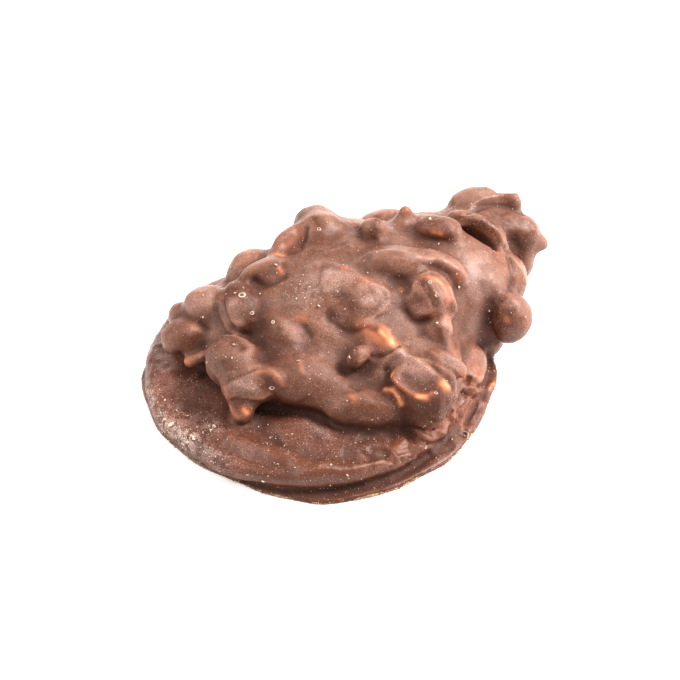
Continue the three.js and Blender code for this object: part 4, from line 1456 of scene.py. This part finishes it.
# %% Set the burst bubbles
BUBBLES = {
    "bean_high": ((242, 295), 0.55),
    "bean_low": ((252, 313), 0.35),
    "slope": ((273, 322), 0.32),
    "crown": ((319, 229), 0.36),
    "rim": ((465, 434), 0.6),
    "ringed_nut": ((430, 282), 0.3),
    "nub": ((437, 295), 0.3),
    "wedge_ring": ((272, 388), 0.4),
    "fold": ((426, 447), 0.3),
    "block_corner": ((436, 393), 0.28),
}
RING_THICKNESS = 0.3
RING_RAGGED = 0.16
RING_SQUASH = (1.0, 0.75, 0.8)


def bubble_at(pixel, radius):
    middle, direction = seen_at(skin, pixel)
    wide = radius * MM
    bpy.ops.object.select_all(action="DESELECT")
    bpy.ops.mesh.primitive_torus_add(
        major_segments=16, minor_segments=6, major_radius=wide, minor_radius=wide * RING_THICKNESS
    )
    ring = bpy.context.active_object
    make_ragged(ring, wide * RING_RAGGED)
    ring.scale = RING_SQUASH
    ring.location = middle
    ring.rotation_euler = direction.to_track_quat("Z", "Y").to_euler()
    apply_place(ring)
    return ring


skin = surface_of(cluster)
bubbles = joined([bubble_at(*bubble) for bubble in BUBBLES.values()], "burst_bubbles")
print("burst bubbles:", len(BUBBLES))

# %% [markdown]
# ## Crumb finishes
#
# Cream crumbs are dry and pale. The flakes on the rim are thin shavings of chocolate, which scatter light
# and look like pale gold. Both are dull, with a little change of colour from crumb to crumb.

# %% Finish the crumbs
CRUMB_CREAM = ((0.5, 0.32, 0.23, 1), (0.80, 0.68, 0.58, 1))
FLAKE_GOLD = ((0.38, 0.19, 0.10, 1), (0.74, 0.54, 0.36, 1))
CRUMB_BLOTCH = 0.9
CRUMB_GRAIN = 0.1
FINISHES = (
    (cream_crumbs, "crumb_cream", CRUMB_CREAM),
    (bubbles, "bubble_pale", CRUMB_CREAM),
    (rim_flakes, "flake_gold", FLAKE_GOLD),
)


def crumb_finish(name, deep, pale):
    material, shader, start = new_material(name)
    place = start.place()
    blotch = place.noise(CRUMB_BLOTCH, seed=1.0).ramp(0.35, 0.65)
    roughness = 0.55 + 0.25 * place.noise(CRUMB_GRAIN, seed=4.0)
    feed(shader, {"Base Color": blotch.between(deep, pale), "Roughness": roughness})
    return material


for piece, name, colours in FINISHES:
    piece.data.materials.append(crumb_finish(name, *colours))
print("finishes:", ", ".join(name for _, name, _ in FINISHES))

# %% [markdown]
# ## Floor
#
# The photograph's background is pure white and takes almost no shadow. A plain pale floor would turn
# grey under the candy, so it also glows a little by itself, which fills the shadow.

# %% Lay the floor
FLOOR_SIZE = 6000.0
FLOOR_DROP = 0.02
FLOOR_PATCHES = 60.0
FLOOR_COLOURS = ((0.8, 0.8, 0.8, 1), (0.84, 0.84, 0.84, 1))
FLOOR_GLOW = 0.36
FLOOR_SOCKETS = {
    "Roughness": 0.9,
    "Specular IOR Level": 0.1,
    "Emission Color": (1, 1, 1, 1),
    "Emission Strength": FLOOR_GLOW,
}


def add_floor():
    bpy.ops.object.select_all(action="DESELECT")
    bpy.ops.mesh.primitive_plane_add(size=FLOOR_SIZE * MM, location=(0, 0, -FLOOR_DROP * MM))
    floor = bpy.context.active_object
    floor.name = "floor"
    apply_place(floor)
    material, shader, start = new_material("pale_floor")
    feed(shader, {"Base Color": start.place().noise(FLOOR_PATCHES).between(*FLOOR_COLOURS)})
    feed(shader, FLOOR_SOCKETS)
    floor.data.materials.append(material)
    return floor


floor = add_floor()
print("floor:", FLOOR_SIZE / 1000, "m wide")

# %% [markdown]
# ## Light
#
# The candy was lit by large soft lights. The strongest came from the right, high up, so tops shine there
# and the left and lower sides of the nuts are dark. Seven area lights and a pale world repeat that: three
# on the right, two on the left to open its shadows, a low one behind for the bright upper edges, and a
# faint one in front. The photograph has more contrast than the plain view gives, and the view's gamma
# brings that back without changing a material.

# %% Set the lights
LIGHTS = {
    "right": ((300, 20, 400), 180, 3.55),
    "right_back": ((230, 300, 400), 160, 1.1),
    "right_low": ((460, 60, 120), 240, 1.3),
    "back": ((-60, 520, 90), 400, 1.5),
    "left": ((-350, 0, 380), 220, 1.3),
    "left_low": ((-450, -60, 150), 240, 0.62),
    "front": ((0, -350, 450), 220, 0.25),
}
WORLD_STRENGTH = 0.36
PRINT_CONTRAST = 0.83


def add_light(name, place, size, power):
    light = bpy.data.lights.new(name, "AREA")
    light.energy = power
    light.size = size * MM
    lamp = bpy.data.objects.new(name, light)
    lamp.location = Vector(place) * MM
    lamp.rotation_euler = Vector(place).to_track_quat("Z", "Y").to_euler()
    bpy.context.scene.collection.objects.link(lamp)


def add_world():
    world = bpy.data.worlds.new("white_room")
    world.use_nodes = True
    background = world.node_tree.nodes["Background"]
    background.inputs["Color"].default_value = (1, 1, 1, 1)
    background.inputs["Strength"].default_value = WORLD_STRENGTH
    bpy.context.scene.world = world


for name, light in LIGHTS.items():
    add_light(name, *light)
add_world()
bpy.context.scene.view_settings.view_transform = "Standard"
bpy.context.scene.view_settings.gamma = PRINT_CONTRAST
print("lights:", ", ".join(LIGHTS))

# %% [markdown]
# ## Replacing the imported solid
#
# The skin takes the place of the imported solid, and skin and crumbs all ride on the one body.

# %% Attach the pieces to the body and hide the imported part
for piece in (cluster, cream_crumbs, rim_flakes, bubbles):
    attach(piece, "root")
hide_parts(NODE)
